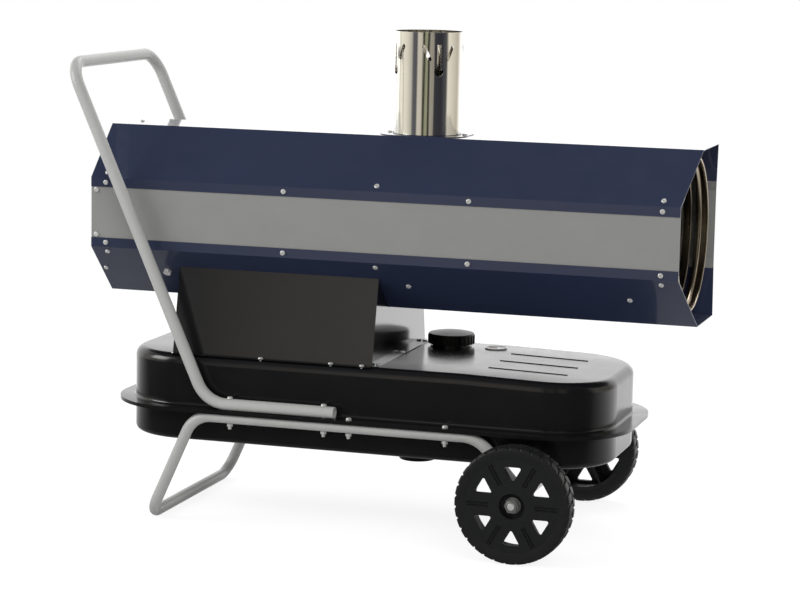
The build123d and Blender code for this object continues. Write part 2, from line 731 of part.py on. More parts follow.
with BuildPart() as fan_motor:
    with BuildSketch(along_x(MOTOR_REAR_X)):
        Circle(MOTOR_RADIUS)
    extrude(amount=MOTOR_LENGTH)
    fillet(fan_motor.edges().group_by(Axis.X)[0] + fan_motor.edges().group_by(Axis.X)[-1], FAN_NOSE)
    with BuildSketch(along_x(MOTOR_REAR_X - MOTOR_GAP / 2)):
        Circle(MOTOR_SPIGOT_RADIUS)
    extrude(amount=MOTOR_GAP)
    with BuildSketch(along_x(MOTOR_REAR_X - MOTOR_GAP)):
        Circle(SHAFT_RADIUS + RUN_FIT)
    extrude(amount=MOTOR_LENGTH + 2 * MOTOR_GAP, mode=Mode.SUBTRACT)

MOTOR_SEAT = MOTOR_RADIUS + SLIP_FIT


def clear_of_panels():
    """Cut away what would reach the grey panels' lower edges, in the sketch that is open."""
    for side in (NEAR, FAR):
        middle = PANEL_EDGE_Y - TOUCH_GAP + CASING_WIDTH / 2
        with Locations((side * middle, -WEB_HEIGHT / 2)):
            Rectangle(CASING_WIDTH, WEB_HEIGHT, mode=Mode.SUBTRACT)


with BuildPart() as motor_bracket:
    with BuildSketch(along_x(MOTOR_BOLT_X - MOTOR_PLATE / 2)):
        octagon(CASING_SHEET)
        with Locations((0, CASING_HEIGHT / 2 - 0.2 * MOTOR_RADIUS)):
            Rectangle(CASING_WIDTH, CASING_HEIGHT, mode=Mode.SUBTRACT)
        for side in (NEAR, FAR):
            with Locations((side * CASING_WIDTH / 2, -WEB_HEIGHT / 4)):
                Rectangle(CASING_WIDTH - 2.6 * MOTOR_RADIUS, WEB_HEIGHT / 2, mode=Mode.SUBTRACT)
        clear_of_panels()
        with Locations((0, -CASING_HEIGHT / 2)):
            Rectangle(1.1 * CASING_FLAT, MOTOR_RADIUS, mode=Mode.SUBTRACT)
        Circle(MOTOR_SEAT, mode=Mode.SUBTRACT)
    extrude(amount=MOTOR_PLATE)
    with BuildSketch(along_x(MOTOR_BOLT_X - MOTOR_FOOT / 2)):
        octagon(CASING_SHEET)
        octagon(CASING_SHEET + MOTOR_PLATE, mode=Mode.SUBTRACT)
        with Locations((0, CASING_HEIGHT - WEB_HEIGHT / 2 - MID_CLIMB * SLOPE_Y * 0.7)):
            Rectangle(2 * CASING_WIDTH, 2 * CASING_HEIGHT, mode=Mode.SUBTRACT)
        with Locations((0, -CASING_HEIGHT / 2)):
            Rectangle(1.1 * CASING_FLAT, MOTOR_RADIUS, mode=Mode.SUBTRACT)
    extrude(amount=MOTOR_FOOT)
    with BuildSketch(along_x(MOTOR_BOLT_X - MOTOR_FOOT / 2)):
        Circle(MOTOR_SEAT + MOTOR_PLATE)
        Circle(MOTOR_SEAT, mode=Mode.SUBTRACT)
    extrude(amount=MOTOR_FOOT)
    with Locations(*motor_seats()):
        Hole(BOLT_HOLE, 3 * HEX_HEAD_HEIGHT)

with BuildPart() as fuel_pump:
    with BuildSketch(along_x(MOTOR_FRONT_X)):
        Circle(PUMP_RADIUS)
    extrude(amount=PUMP_LENGTH)
    fillet(fuel_pump.edges().group_by(Axis.X)[-1], PUMP_EDGE)
    with BuildSketch(along_x(MOTOR_FRONT_X)):
        Circle(SHAFT_RADIUS + RUN_FIT)
    extrude(amount=PUMP_LENGTH / 2 + TOUCH_GAP, mode=Mode.SUBTRACT)

# ---------------------------------------------------------------- outlet and heat exchanger
CASING_AXIS = Axis((MID_X, 0, AXIS_Z), (1, 0, 0))
TURNING_PLANE = Plane(origin=(MID_X, 0, AXIS_Z), x_dir=(1, 0, 0), z_dir=(0, -1, 0))

with BuildPart() as outlet_ring:
    with BuildSketch(TURNING_PLANE):
        with BuildLine():
            ring_in = RING_RADIUS - RING_WALL
            Line((RING_REAR_X, RING_RADIUS), (RING_FRONT_X - RING_BEAD, RING_RADIUS))
            Line((RING_FRONT_X - RING_BEAD, RING_RADIUS), (RING_FRONT_X - RING_BEAD, ring_in))
            Line((RING_FRONT_X - RING_BEAD, ring_in), (RING_REAR_X + RING_RIB, ring_in))
            ThreePointArc(
                (RING_REAR_X + RING_RIB, ring_in),
                (RING_REAR_X + RING_RIB / 2, ring_in - RING_RIB_RISE),
                (RING_REAR_X, ring_in),
            )
            Line((RING_REAR_X, ring_in), (RING_REAR_X, RING_RADIUS))
        make_face()
        with Locations((RING_FRONT_X - RING_BEAD, RING_RADIUS)):
            Circle(RING_BEAD)
    revolve(axis=CASING_AXIS)

CHEEK_X = STRIP_LAST + CHEEK_FLANGE / 2

with BuildPart() as outlet_cheeks:
    with BuildSketch(along_x(CHEEK_X - CHEEK_SHEET)):
        octagon(INNER)
        Circle(RING_RADIUS, mode=Mode.SUBTRACT)
        Rectangle(CASING_FLAT * 1.25, CASING_HEIGHT, mode=Mode.SUBTRACT)
    extrude(amount=CHEEK_SHEET)
    with BuildSketch(along_x(CHEEK_X - CHEEK_FLANGE)):
        octagon(INNER)
        octagon(INNER + CHEEK_SHEET, mode=Mode.SUBTRACT)
        Rectangle(CASING_WIDTH - 2 * PANEL_LAP * SLOPE_Z, CASING_HEIGHT, mode=Mode.SUBTRACT)
    extrude(amount=CHEEK_FLANGE)
    for side in (NEAR, FAR):
        for up in (-1, 1):
            with Locations(*strip_seats(side, up), *fold_seats(side, up)):
                Hole(SCREW_HOLE, HOLE_DEPTH)

with BuildPart() as heat_shield:
    with BuildSketch(TURNING_PLANE):
        with Locations(((SHIELD_FRONT_X + SHIELD_REAR_X) / 2, SHIELD_RADIUS - SHIELD_WALL / 2)):
            Rectangle(SHIELD_LENGTH, SHIELD_WALL)
        with Locations((SHIELD_FRONT_X - SHIELD_BEAD, SHIELD_RADIUS)):
            Circle(SHIELD_BEAD)
    revolve(axis=CASING_AXIS)
    with BuildSketch(floor_plane(AXIS_Z, FLUE_X)):
        Circle(FLUE_RADIUS + SLIP_FIT)
    extrude(amount=CASING_HEIGHT / 2, mode=Mode.SUBTRACT)

STUB_TOP = SHELL_TOP - STUB_DROP
SPIGOT_RADIUS = FLUE_RADIUS - COLLAR_NECK
STUB_RADIUS = SPIGOT_RADIUS - FLUE_WALL - SLIP_FIT
STRUT_XS = (DRUM_REAR_X + 0.12 * DRUM_LENGTH, DRUM_REAR_X + 0.85 * DRUM_LENGTH)

with BuildPart() as exchanger:
    with BuildSketch(along_x(DRUM_REAR_X)):
        Circle(DRUM_RADIUS)
    extrude(amount=DRUM_LENGTH)
    with BuildSketch(floor_plane(AXIS_Z, FLUE_X)):
        Circle(STUB_RADIUS)
    extrude(amount=STUB_TOP - AXIS_Z)
    with BuildSketch(along_x(DRUM_REAR_X + DRUM_WALL)):
        Circle(DRUM_RADIUS - DRUM_WALL)
    extrude(amount=DRUM_LENGTH, mode=Mode.SUBTRACT)
    with BuildSketch(floor_plane(AXIS_Z, FLUE_X)):
        Circle(STUB_RADIUS - DRUM_WALL)
    extrude(amount=CASING_HEIGHT, mode=Mode.SUBTRACT)
    with BuildSketch(along_x(DRUM_REAR_X - DRUM_WALL)):
        Circle(BURNER_RADIUS + SLIP_FIT)
    extrude(amount=3 * DRUM_WALL, mode=Mode.SUBTRACT)
    with BuildSketch(along_x(DRUM_FRONT_X - DRUM_FRONT_RECESS)):
        Circle(DRUM_RADIUS - DRUM_WALL / 2)
    extrude(amount=-DRUM_WALL)
    with BuildSketch(TURNING_PLANE):
        with Locations((DRUM_FRONT_X - RING_BEAD, DRUM_RADIUS)):
            Circle(RING_BEAD)
    revolve(axis=CASING_AXIS)
    for x in STRUT_XS:
        with BuildSketch(along_x(x)):
            Rectangle(3 * SHIELD_RADIUS, STRUT_SHEET, rotation=45.0)
            Rectangle(3 * SHIELD_RADIUS, STRUT_SHEET, rotation=-45.0)
            Circle(SHIELD_RADIUS - SHIELD_WALL, mode=Mode.INTERSECT)
            Circle(DRUM_RADIUS - DRUM_WALL / 2, mode=Mode.SUBTRACT)
        extrude(amount=STRUT_LENGTH)

with BuildPart() as combustion_chamber:
    with BuildSketch(along_x(DRUM_REAR_X + DRUM_WALL)):
        Circle(CHAMBER_RADIUS)
        Circle(CHAMBER_RADIUS - DRUM_WALL, mode=Mode.SUBTRACT)
    extrude(amount=CHAMBER_LENGTH)


def saddle(x):
    """A sheet cradle that carries the heat shield on the lower shell's slanted faces."""
    with BuildPart() as cradle:
        with BuildSketch(along_x(x - SADDLE_SHEET / 2)):
            octagon(CASING_SHEET)
            Circle(SHIELD_RADIUS, mode=Mode.SUBTRACT)
            with Locations((0, CASING_HEIGHT / 2 - SADDLE_SINE * SHIELD_RADIUS)):
                Rectangle(2 * CASING_WIDTH, CASING_HEIGHT, mode=Mode.SUBTRACT)
            clear_of_panels()
        extrude(amount=SADDLE_SHEET)
        with BuildSketch(along_x(x - SADDLE_FOOT / 2)):
            octagon(CASING_SHEET)
            octagon(CASING_SHEET + SADDLE_SHEET, mode=Mode.SUBTRACT)
            foot_top = -WEB_HEIGHT / 2 - (MID_CLIMB - SADDLE_FOOT) * SLOPE_Y
            foot_bottom = -WEB_HEIGHT / 2 - (MID_CLIMB + SADDLE_FOOT) * SLOPE_Y
            with Locations((0, foot_top + CASING_HEIGHT), (0, foot_bottom - CASING_HEIGHT)):
                Rectangle(2 * CASING_WIDTH, 2 * CASING_HEIGHT, mode=Mode.SUBTRACT)
        extrude(amount=SADDLE_FOOT)
        with Locations(*[slope_seat(x, side, -1, MID_CLIMB) for side in (NEAR, FAR)]):
            Hole(SCREW_HOLE, HOLE_DEPTH)
    return cradle.part


with BuildPart() as saddles:
    for saddle_x in SADDLE_XS:
        add(saddle(saddle_x))

# ---------------------------------------------------------------- burner
BURNER_FRONT_X = DRUM_REAR_X + BURNER_REACH
BURNER_REAR_X = BURNER_FRONT_X - BURNER_LENGTH
NOZZLE_FRONT_X = BURNER_FRONT_X - NOZZLE_INSET
SPIDER_X = NOZZLE_FRONT_X - 2 * NOZZLE_LENGTH

with BuildPart() as burner_tube:
    with BuildSketch(along_x(BURNER_REAR_X)):
        Circle(BURNER_RADIUS)
        Circle(BURNER_RADIUS - BURNER_WALL, mode=Mode.SUBTRACT)
    extrude(amount=BURNER_LENGTH)
    with BuildSketch(along_x(DRUM_REAR_X)):
        Circle(BURNER_FLANGE_RADIUS)
        Circle(BURNER_RADIUS - BURNER_WALL, mode=Mode.SUBTRACT)
    extrude(amount=-BURNER_FLANGE)

with BuildPart() as nozzle_holder:
    with BuildSketch(along_x(PUMP_FRONT_X)):
        Circle(OIL_PIPE_RADIUS)
    extrude(amount=NOZZLE_FRONT_X - PUMP_FRONT_X)
    with BuildSketch(along_x(NOZZLE_FRONT_X - NOZZLE_LENGTH)):
        RegularPolygon(NOZZLE_RADIUS, 6)
    extrude(amount=NOZZLE_LENGTH)
    with BuildSketch(along_x(SPIDER_X)):
        Circle(1.6 * NOZZLE_RADIUS)
        for turn in (90.0, 210.0, 330.0):
            Rectangle(
                BURNER_RADIUS - BURNER_WALL, NOZZLE_RADIUS, rotation=turn,
                align=(Align.MIN, Align.CENTER),
            )
        Circle(BURNER_RADIUS - BURNER_WALL, mode=Mode.INTERSECT)
        with Locations((-ELECTRODE_OFFSET, 0), (ELECTRODE_OFFSET, 0)):
            Circle(2 * ELECTRODE_RADIUS + SLIP_FIT, mode=Mode.SUBTRACT)
    extrude(amount=SPIDER_SHEET)

with BuildPart() as electrodes:
    for side in (-1, 1):
        with BuildSketch(along_x(SPIDER_X - NOZZLE_LENGTH)):
            with Locations((side * ELECTRODE_OFFSET, 0)):
                Circle(2 * ELECTRODE_RADIUS)
        extrude(amount=2 * NOZZLE_LENGTH)
        with BuildSketch(along_x(SPIDER_X + NOZZLE_LENGTH)):
            with Locations((side * ELECTRODE_OFFSET, 0)):
                Circle(ELECTRODE_RADIUS)
        extrude(amount=NOZZLE_LENGTH + ELECTRODE_REACH)

# ---------------------------------------------------------------- flue
FLUE_TOP = SHELL_TOP + FLUE_STAND
FLUE_BOTTOM = SHELL_TOP - FLUE_OVERLAP
FLUE_LENGTH = FLUE_TOP - FLUE_BOTTOM
SPIGOT_LENGTH = FLUE_OVERLAP + COLLAR_RISE + COLLAR_STOP
# the slots beside a keyhole lean outwards at their tops
SIDE_SLOT_TURN = (SIDE_SLOT_TOP_TURN + SIDE_SLOT_BOTTOM_TURN) / 2
SIDE_SLOT_LEAN = 2 * FLUE_RADIUS * sin(radians(SIDE_SLOT_TOP_TURN - SIDE_SLOT_BOTTOM_TURN) / 2)
SIDE_SLOT_DROP = SIDE_SLOT_BOTTOM - SIDE_SLOT_TOP
SIDE_SLOT_LENGTH = hypot(SIDE_SLOT_LEAN, SIDE_SLOT_DROP)
SIDE_SLOT_RISE = degrees(atan2(SIDE_SLOT_DROP, SIDE_SLOT_LEAN))


def flue_plane(turn):
    """The upright plane that faces out of the flue in the direction turn, at its top edge."""
    out = (cos(radians(turn)), sin(radians(turn)), 0)
    side = (-sin(radians(turn)), cos(radians(turn)), 0)
    return Plane(origin=(MID_X + FLUE_X, 0, FLUE_TOP), x_dir=side, z_dir=out)


with BuildPart() as flue_pipe:
    with BuildSketch(floor_plane(FLUE_BOTTOM, FLUE_X)):
        Circle(SPIGOT_RADIUS)
    extrude(amount=SPIGOT_LENGTH)
    with BuildSketch(floor_plane(FLUE_BOTTOM + SPIGOT_LENGTH, FLUE_X)):
        Circle(FLUE_RADIUS)
    extrude(amount=FLUE_LENGTH - SPIGOT_LENGTH)
    with BuildSketch(floor_plane(FLUE_BOTTOM, FLUE_X)):
        Circle(SPIGOT_RADIUS - FLUE_WALL)
    extrude(amount=FLUE_LENGTH, mode=Mode.SUBTRACT)
    with BuildSketch(floor_plane(FLUE_BOTTOM + SPIGOT_LENGTH + FLUE_WALL, FLUE_X)):
        Circle(FLUE_RADIUS - FLUE_WALL)
    extrude(amount=FLUE_LENGTH, mode=Mode.SUBTRACT)
    for i in range(KEYHOLE_COUNT):
        turn = FLUE_TURN + 360.0 / KEYHOLE_COUNT * i
        with BuildSketch(flue_plane(turn)):
            with Locations((0, -KEYHOLE_DROP)):
                Circle(KEYHOLE_RADIUS)
            with Locations((0, -(KEYHOLE_DROP + KEYHOLE_SLOT_TOP) / 2)):
                Rectangle(KEYHOLE_SLOT_WIDTH, KEYHOLE_DROP - KEYHOLE_SLOT_TOP)
        extrude(amount=2 * FLUE_RADIUS, mode=Mode.SUBTRACT)
        for side in (-1, 1):
            with BuildSketch(flue_plane(turn + side * SIDE_SLOT_TURN)):
                with Locations((0, -(SIDE_SLOT_TOP + SIDE_SLOT_BOTTOM) / 2)):
                    SlotCenterToCenter(SIDE_SLOT_LENGTH, SIDE_SLOT_WIDTH, rotation=side * SIDE_SLOT_RISE)
            extrude(amount=2 * FLUE_RADIUS, mode=Mode.SUBTRACT)

with BuildPart() as flue_collar:
    with BuildSketch(floor_plane(SHELL_TOP, FLUE_X)):
        RectangleRounded(COLLAR_LENGTH, COLLAR_WIDTH, COLLAR_WIDTH / 3)
    extrude(amount=COLLAR_SHEET)
    with BuildSketch(floor_plane(SHELL_TOP, FLUE_X)):
        Circle(FLUE_RADIUS + TOUCH_GAP + COLLAR_SHEET)
    extrude(amount=COLLAR_RISE)
    with Locations(floor_plane(SHELL_TOP, FLUE_X)):
        Hole(FLUE_RADIUS + TOUCH_GAP, 2 * COLLAR_RISE)
    with Locations(*[on_collar(s * COLLAR_SCREW_X) for s in (-1, 1)]):
        Hole(SCREW_HOLE, HOLE_DEPTH)

# ---------------------------------------------------------------- burner box
BOX_LEAN_TAN = tan(radians(BOX_LEAN))
UNDERSIDE_Z = TANK_TOP + BOX_LIFT
# where the leaning side meets the casing's slanted face
BOX_TOP_Z = (
    (BOX_FOOT_Y - CASING_FLAT / 2 + TANK_TOP * BOX_LEAN_TAN + UNDERSIDE_Z * SLOPE_RUN / SLOPE_RISE)
    / (SLOPE_RUN / SLOPE_RISE + BOX_LEAN_TAN)
)
BOX_TOP_Y = BOX_FOOT_Y - (BOX_TOP_Z - TANK_TOP) * BOX_LEAN_TAN
BOX_LENGTH = BOX_FRONT_X - BOX_REAR_X
FOOT_SCREW_X = [BOX_REAR_X + x for x in FOOT_SCREW_REAR]
FOOT_SCREW_X += [BOX_FRONT_X - x for x in FOOT_SCREW_FRONT]


def box_plane(x):
    """The YZ plane across the box at x; its height 0 is the tank's flat top."""
    return Plane(origin=(MID_X + x, 0, TANK_TOP), x_dir=(0, 1, 0), z_dir=(1, 0, 0))


def box_outline(inset, mode=Mode.ADD):
    """The box's section under the casing, moved in by inset, into the sketch that is open."""
    lean = radians(BOX_LEAN)
    foot = BOX_FOOT_Y - inset / cos(lean)
    rise = UNDERSIDE_Z - TANK_TOP - inset
    slope = SLOPE_RUN / SLOPE_RISE
    drop = inset * SLOPE_LENGTH / SLOPE_RUN
    base = CASING_FLAT / 2 - slope * (UNDERSIDE_Z - TANK_TOP - drop)
    peak_z = (foot - base) / (slope + BOX_LEAN_TAN)
    peak_y = foot - peak_z * BOX_LEAN_TAN
    flat_y = base + slope * rise
    corners = [(foot, 0), (peak_y, peak_z), (flat_y, rise)]
    corners += [(-y, z) for y, z in reversed(corners)]
    Polygon(*corners, align=None, mode=mode)


def foot_seats(side):
    seats = []
    for x in FOOT_SCREW_X:
        y = side * (BOX_FOOT_Y + BOX_FOOT / 2)
        seats.append(floor_plane(TANK_TOP + BOX_SHEET, x, y))
    return seats


def end_foot_seats():
    x = BOX_FRONT_X + BOX_FLANGE / 2
    ys = (-BOX_FOOT_Y + 2 * BOX_FOOT, 0, BOX_FOOT_Y - 2 * BOX_FOOT)
    return [floor_plane(TANK_TOP + BOX_SHEET, x, y) for y in ys]


def box_side(side):
    """A leaning side of the box: a foot on the tank, and an edge under the slanted face."""
    with BuildPart() as wall:
        with BuildSketch(box_plane(BOX_REAR_X)):
            box_outline(0)
            box_outline(BOX_SHEET, mode=Mode.SUBTRACT)
            edge = BOX_TOP_Y - BOX_FLANGE * SLOPE_Z
            with Locations((side * (edge - CASING_WIDTH), 0)):
                Rectangle(2 * CASING_WIDTH, 2 * CASING_HEIGHT, mode=Mode.SUBTRACT)
            with Locations((side * (BOX_FOOT_Y + BOX_FOOT / 2 - BOX_SHEET / 4), BOX_SHEET / 2)):
                Rectangle(BOX_FOOT + BOX_SHEET / 2, BOX_SHEET)
        extrude(amount=BOX_LENGTH)
        with Locations(*foot_seats(side)):
            Hole(SCREW_HOLE, HOLE_DEPTH)
    return wall.part


with BuildPart() as box_side_near:
    add(box_side(NEAR))

with BuildPart() as box_side_far:
    add(box_side(FAR))

with BuildPart() as box_front:
    with BuildSketch(box_plane(BOX_FRONT_X)):
        box_outline(BOX_SHEET)
    extrude(amount=-BOX_FLANGE)
    with BuildSketch(box_plane(BOX_FRONT_X - BOX_SHEET)):
        box_outline(2 * BOX_SHEET)
        with Locations((0, BOX_FLANGE)):
            Rectangle(2 * BOX_FOOT_Y - 8 * BOX_SHEET, 4 * BOX_FLANGE)
    extrude(amount=-BOX_FLANGE, mode=Mode.SUBTRACT)
    with BuildSketch(floor_plane(TANK_TOP, BOX_FRONT_X)):
        Rectangle(
            BOX_FLANGE, 2 * BOX_FOOT_Y - 4 * BOX_SHEET, align=(Align.MIN, Align.CENTER)
        )
    extrude(amount=BOX_SHEET)
    with BuildSketch(box_plane(BOX_FRONT_X)):
        Rectangle(
            2 * BOX_FOOT_Y - 4 * BOX_SHEET, 2 * BOX_SHEET, align=(Align.CENTER, Align.MIN)
        )
    extrude(amount=-BOX_SHEET)
    with Locations(*end_foot_seats()):
        Hole(SCREW_HOLE, HOLE_DEPTH)


def control_plane(y):
    """The plane on the outside of the rear plate at y; it faces the person behind the heater."""
    origin = (MID_X + BOX_REAR_X, y, TANK_TOP + CONTROL_LIFT)
    return Plane(origin=origin, x_dir=(0, -1, 0), z_dir=(-1, 0, 0))


with BuildPart() as box_rear:
    with BuildSketch(box_plane(BOX_REAR_X)):
        box_outline(BOX_SHEET)
    extrude(amount=BOX_FLANGE)
    with BuildSketch(box_plane(BOX_REAR_X + BOX_SHEET)):
        box_outline(2 * BOX_SHEET)
        with Locations((0, -BOX_SHEET)):
            Rectangle(2 * BOX_FOOT_Y - 8 * BOX_SHEET, 4 * BOX_SHEET)
    extrude(amount=BOX_FLANGE, mode=Mode.SUBTRACT)
    with BuildSketch(control_plane(SWITCH_Y)):
        Rectangle(SWITCH_WIDTH - SWITCH_RIM, SWITCH_HEIGHT - SWITCH_RIM)
    extrude(amount=-2 * BOX_SHEET, mode=Mode.SUBTRACT)
    with Locations(control_plane(KNOB_Y)):
        Hole(KNOB_SHAFT_RADIUS + TOUCH_GAP, HOLE_DEPTH)
    with Locations(control_plane(LAMP_Y)):
        Hole(LAMP_RADIUS + SLIP_FIT, HOLE_DEPTH)
    with Locations(control_plane(RESET_Y)):
        Hole(BUTTON_RADIUS + TOUCH_GAP, HOLE_DEPTH)
    with Locations(control_plane(GLAND_Y)):
        Hole(GLAND_THREAD + SLIP_FIT, HOLE_DEPTH)

box_seats = foot_seats(NEAR) + foot_seats(FAR) + end_foot_seats()

with BuildPart() as sheet_screws:
    with Locations(*shell_seats, *box_seats):
        add(screw.part)

# ---------------------------------------------------------------- fuel tank
TANK_LENGTH = TANK_FRONT_X - TANK_REAR_X
TANK_MID_X = (TANK_FRONT_X + TANK_REAR_X) / 2
TANK_FALL = (TANK_FRONT_X - TANK_SLOPE_X) * tan(radians(TANK_SLOPE))


def tank_outline(z, grow=0.0):
    """The tank's plan outline at height z, grown by grow."""
    with BuildSketch(floor_plane(z, TANK_MID_X)) as outline:
        RectangleRounded(TANK_LENGTH + 2 * grow, TANK_WIDTH + 2 * grow, TANK_CORNER + grow)
    return outline.sketch


def upper_block(inset):
    """The upper tank's block, moved in by inset, with its falling front and rounded edge."""
    top = TANK_TOP - inset
    drop = TANK_FALL * (1 + FLANGE / (TANK_FRONT_X - TANK_SLOPE_X))
    with BuildPart() as block:
        extrude(tank_outline(SEAM_Z, -inset), amount=TANK_RISE - inset)
        with BuildSketch(Plane.XZ.offset(-TANK_WIDTH)):
            Polygon(
                (MID_X + TANK_SLOPE_X, top),
                (MID_X + TANK_FRONT_X + FLANGE, top - drop),
                (MID_X + TANK_FRONT_X + FLANGE, top + TANK_RISE),
                (MID_X + TANK_SLOPE_X, top + TANK_RISE),
                align=None,
            )
        extrude(amount=2 * TANK_WIDTH, mode=Mode.SUBTRACT)
        crease_x = MID_X + TANK_SLOPE_X
        rim = [e for e in block.edges() if e.center().Z > SEAM_Z + 0.8 * TANK_RISE]
        rim = [e for e in rim if e.bounding_box().size.Z < TANK_RISE / 2]
        fillet([e for e in rim if abs(e.center().X - crease_x) > 1.0], TANK_TOP_EDGE - inset)
    return block.part


def tank_screw_holes():
    with Locations(*foot_seats(NEAR), *foot_seats(FAR), *end_foot_seats()):
        Hole(SCREW_HOLE, 2 * SCREW_LENGTH)


RAIL_BOLT_HOLE = BOLT_RADIUS + SLIP_FIT
BOLT_XS = HANDLE_BOLT_X + RAIL_BOLT_X


def bolt_seats(xs, z):
    return [floor_plane(z, x, side * RAIL_Y) for x in xs for side in (NEAR, FAR)]


with BuildPart() as tank_upper:
    add(upper_block(0))
    extrude(tank_outline(SEAM_Z, FLANGE), amount=TANK_SHEET)
    seam = tank_upper.edges().filter_by(lambda e: abs(e.center().Z - SEAM_Z - TANK_SHEET) < 0.01)
    root = seam.filter_by(lambda e: e.bounding_box().max.Y < TANK_WIDTH / 2 + TANK_SHEET)
    root = root.filter_by(lambda e: e.bounding_box().min.Y > -TANK_WIDTH / 2 - TANK_SHEET)
    root = root.filter_by(lambda e: e.bounding_box().max.X < MID_X + TANK_FRONT_X + TANK_SHEET)
    root = root.filter_by(lambda e: e.bounding_box().min.X > MID_X + TANK_REAR_X - TANK_SHEET)
    fillet(root, 3 * TANK_SHEET)
    extrude(tank_outline(SEAM_Z, FLANGE), amount=-HEM)
    extrude(tank_outline(SEAM_Z, FLANGE - TANK_SHEET), amount=-2 * HEM, mode=Mode.SUBTRACT)
    add(upper_block(TANK_SHEET), mode=Mode.SUBTRACT)
    for i in range(RIB_COUNT):
        y = (i - (RIB_COUNT - 1) / 2) * RIB_PITCH
        lean = TANK_SLOPE
        rib_plane = Plane(
            origin=(
                MID_X + RIB_REAR_X, y,
                TANK_TOP - (RIB_REAR_X - TANK_SLOPE_X) * tan(radians(lean)) - TANK_SHEET / 2,
            ),
            x_dir=(cos(radians(lean)), 0, -sin(radians(lean))),
            z_dir=(sin(radians(lean)), 0, cos(radians(lean))),
        )
        with BuildSketch(rib_plane):
            with Locations((RIB_LENGTH / 2, 0)):
                SlotOverall(RIB_LENGTH, RIB_WIDTH)
        extrude(amount=RIB_RISE + TANK_SHEET / 2)
    tank_screw_holes()
    with Locations(floor_plane(TANK_TOP, CAP_X, CAP_Y)):
        Hole(NECK_RADIUS - NECK_WALL, 3 * TANK_SHEET)
    with Locations(floor_plane(TANK_TOP, GAUGE_X, CAP_Y)):
        Hole(GAUGE_STEM_RADIUS + SLIP_FIT, 3 * TANK_SHEET)
    with Locations(floor_plane(TANK_TOP, FILTER_X, FILTER_Y)):
        Hole(PICKUP_RADIUS + SLIP_FIT, 3 * TANK_SHEET)
    with Locations(*bolt_seats(BOLT_XS, SEAM_Z)):
        Hole(RAIL_BOLT_HOLE, 3 * TANK_SHEET)

with BuildPart() as tank_lower:
    extrude(tank_outline(SEAM_Z), amount=-TANK_DROP)
    fillet(tank_lower.edges().group_by(Axis.Z)[0], TANK_BOTTOM_EDGE)
    extrude(tank_outline(SEAM_Z, FLANGE - TANK_SHEET - SLIP_FIT), amount=-TANK_SHEET)
    with BuildPart(mode=Mode.PRIVATE) as hollow:
        extrude(tank_outline(SEAM_Z, -TANK_SHEET), amount=-TANK_DROP + TANK_SHEET)
        fillet(hollow.edges().group_by(Axis.Z)[0], TANK_BOTTOM_EDGE - TANK_SHEET)
    add(hollow.part, mode=Mode.SUBTRACT)
    with Locations(floor_plane(SEAM_Z - TANK_DROP, DRAIN_X, DRAIN_Y)):
        Hole(DRAIN_RADIUS / 2 + SLIP_FIT, 3 * TANK_SHEET)
    with Locations(*bolt_seats(BOLT_XS, SEAM_Z)):
        Hole(RAIL_BOLT_HOLE, 3 * TANK_SHEET)

TANK_BOTTOM = SEAM_Z - TANK_DROP

with BuildPart() as drain_plug:
    with BuildSketch(floor_plane(TANK_BOTTOM, DRAIN_X, DRAIN_Y)):
        Circle(DRAIN_RADIUS)
    extrude(amount=-DRAIN_DROP)
    fillet(drain_plug.edges().group_by(Axis.Z)[0], DRAIN_EDGE)
    with BuildSketch(floor_plane(TANK_BOTTOM, DRAIN_X, DRAIN_Y)):
        Circle(DRAIN_RADIUS / 2)
    extrude(amount=3 * TANK_SHEET)

# ---------------------------------------------------------------- filler neck and cap
NECK_TOP = TANK_TOP + NECK_RISE
CAP_BOTTOM = TANK_TOP + NECK_SHOWING
CAP_BORE = NECK_RADIUS + 2 * TOUCH_GAP
CAP_BAND = CAP_RADIUS - CAP_RIDGE_RADIUS
CAP_SECTION = Plane(
    origin=(MID_X + CAP_X, CAP_Y, CAP_BOTTOM), x_dir=(1, 0, 0), z_dir=(0, -1, 0)
)
DOME_RADIUS = (CAP_BAND**2 + CAP_DOME**2) / (2 * CAP_DOME)
DOME_HALF_WAY = sqrt(DOME_RADIUS**2 - (CAP_BAND / 2) ** 2)

with BuildPart() as filler_neck:
    with BuildSketch(floor_plane(TANK_TOP, CAP_X, CAP_Y)):
        Circle(NECK_RADIUS)
    extrude(amount=NECK_RISE)
    with BuildSketch(floor_plane(TANK_TOP, CAP_X, CAP_Y)):
        Circle(NECK_RADIUS + NECK_FLANGE)
    extrude(amount=NECK_WALL)
    with Locations(floor_plane(TANK_TOP, CAP_X, CAP_Y)):
        Hole(NECK_RADIUS - NECK_WALL, 2 * NECK_RISE)

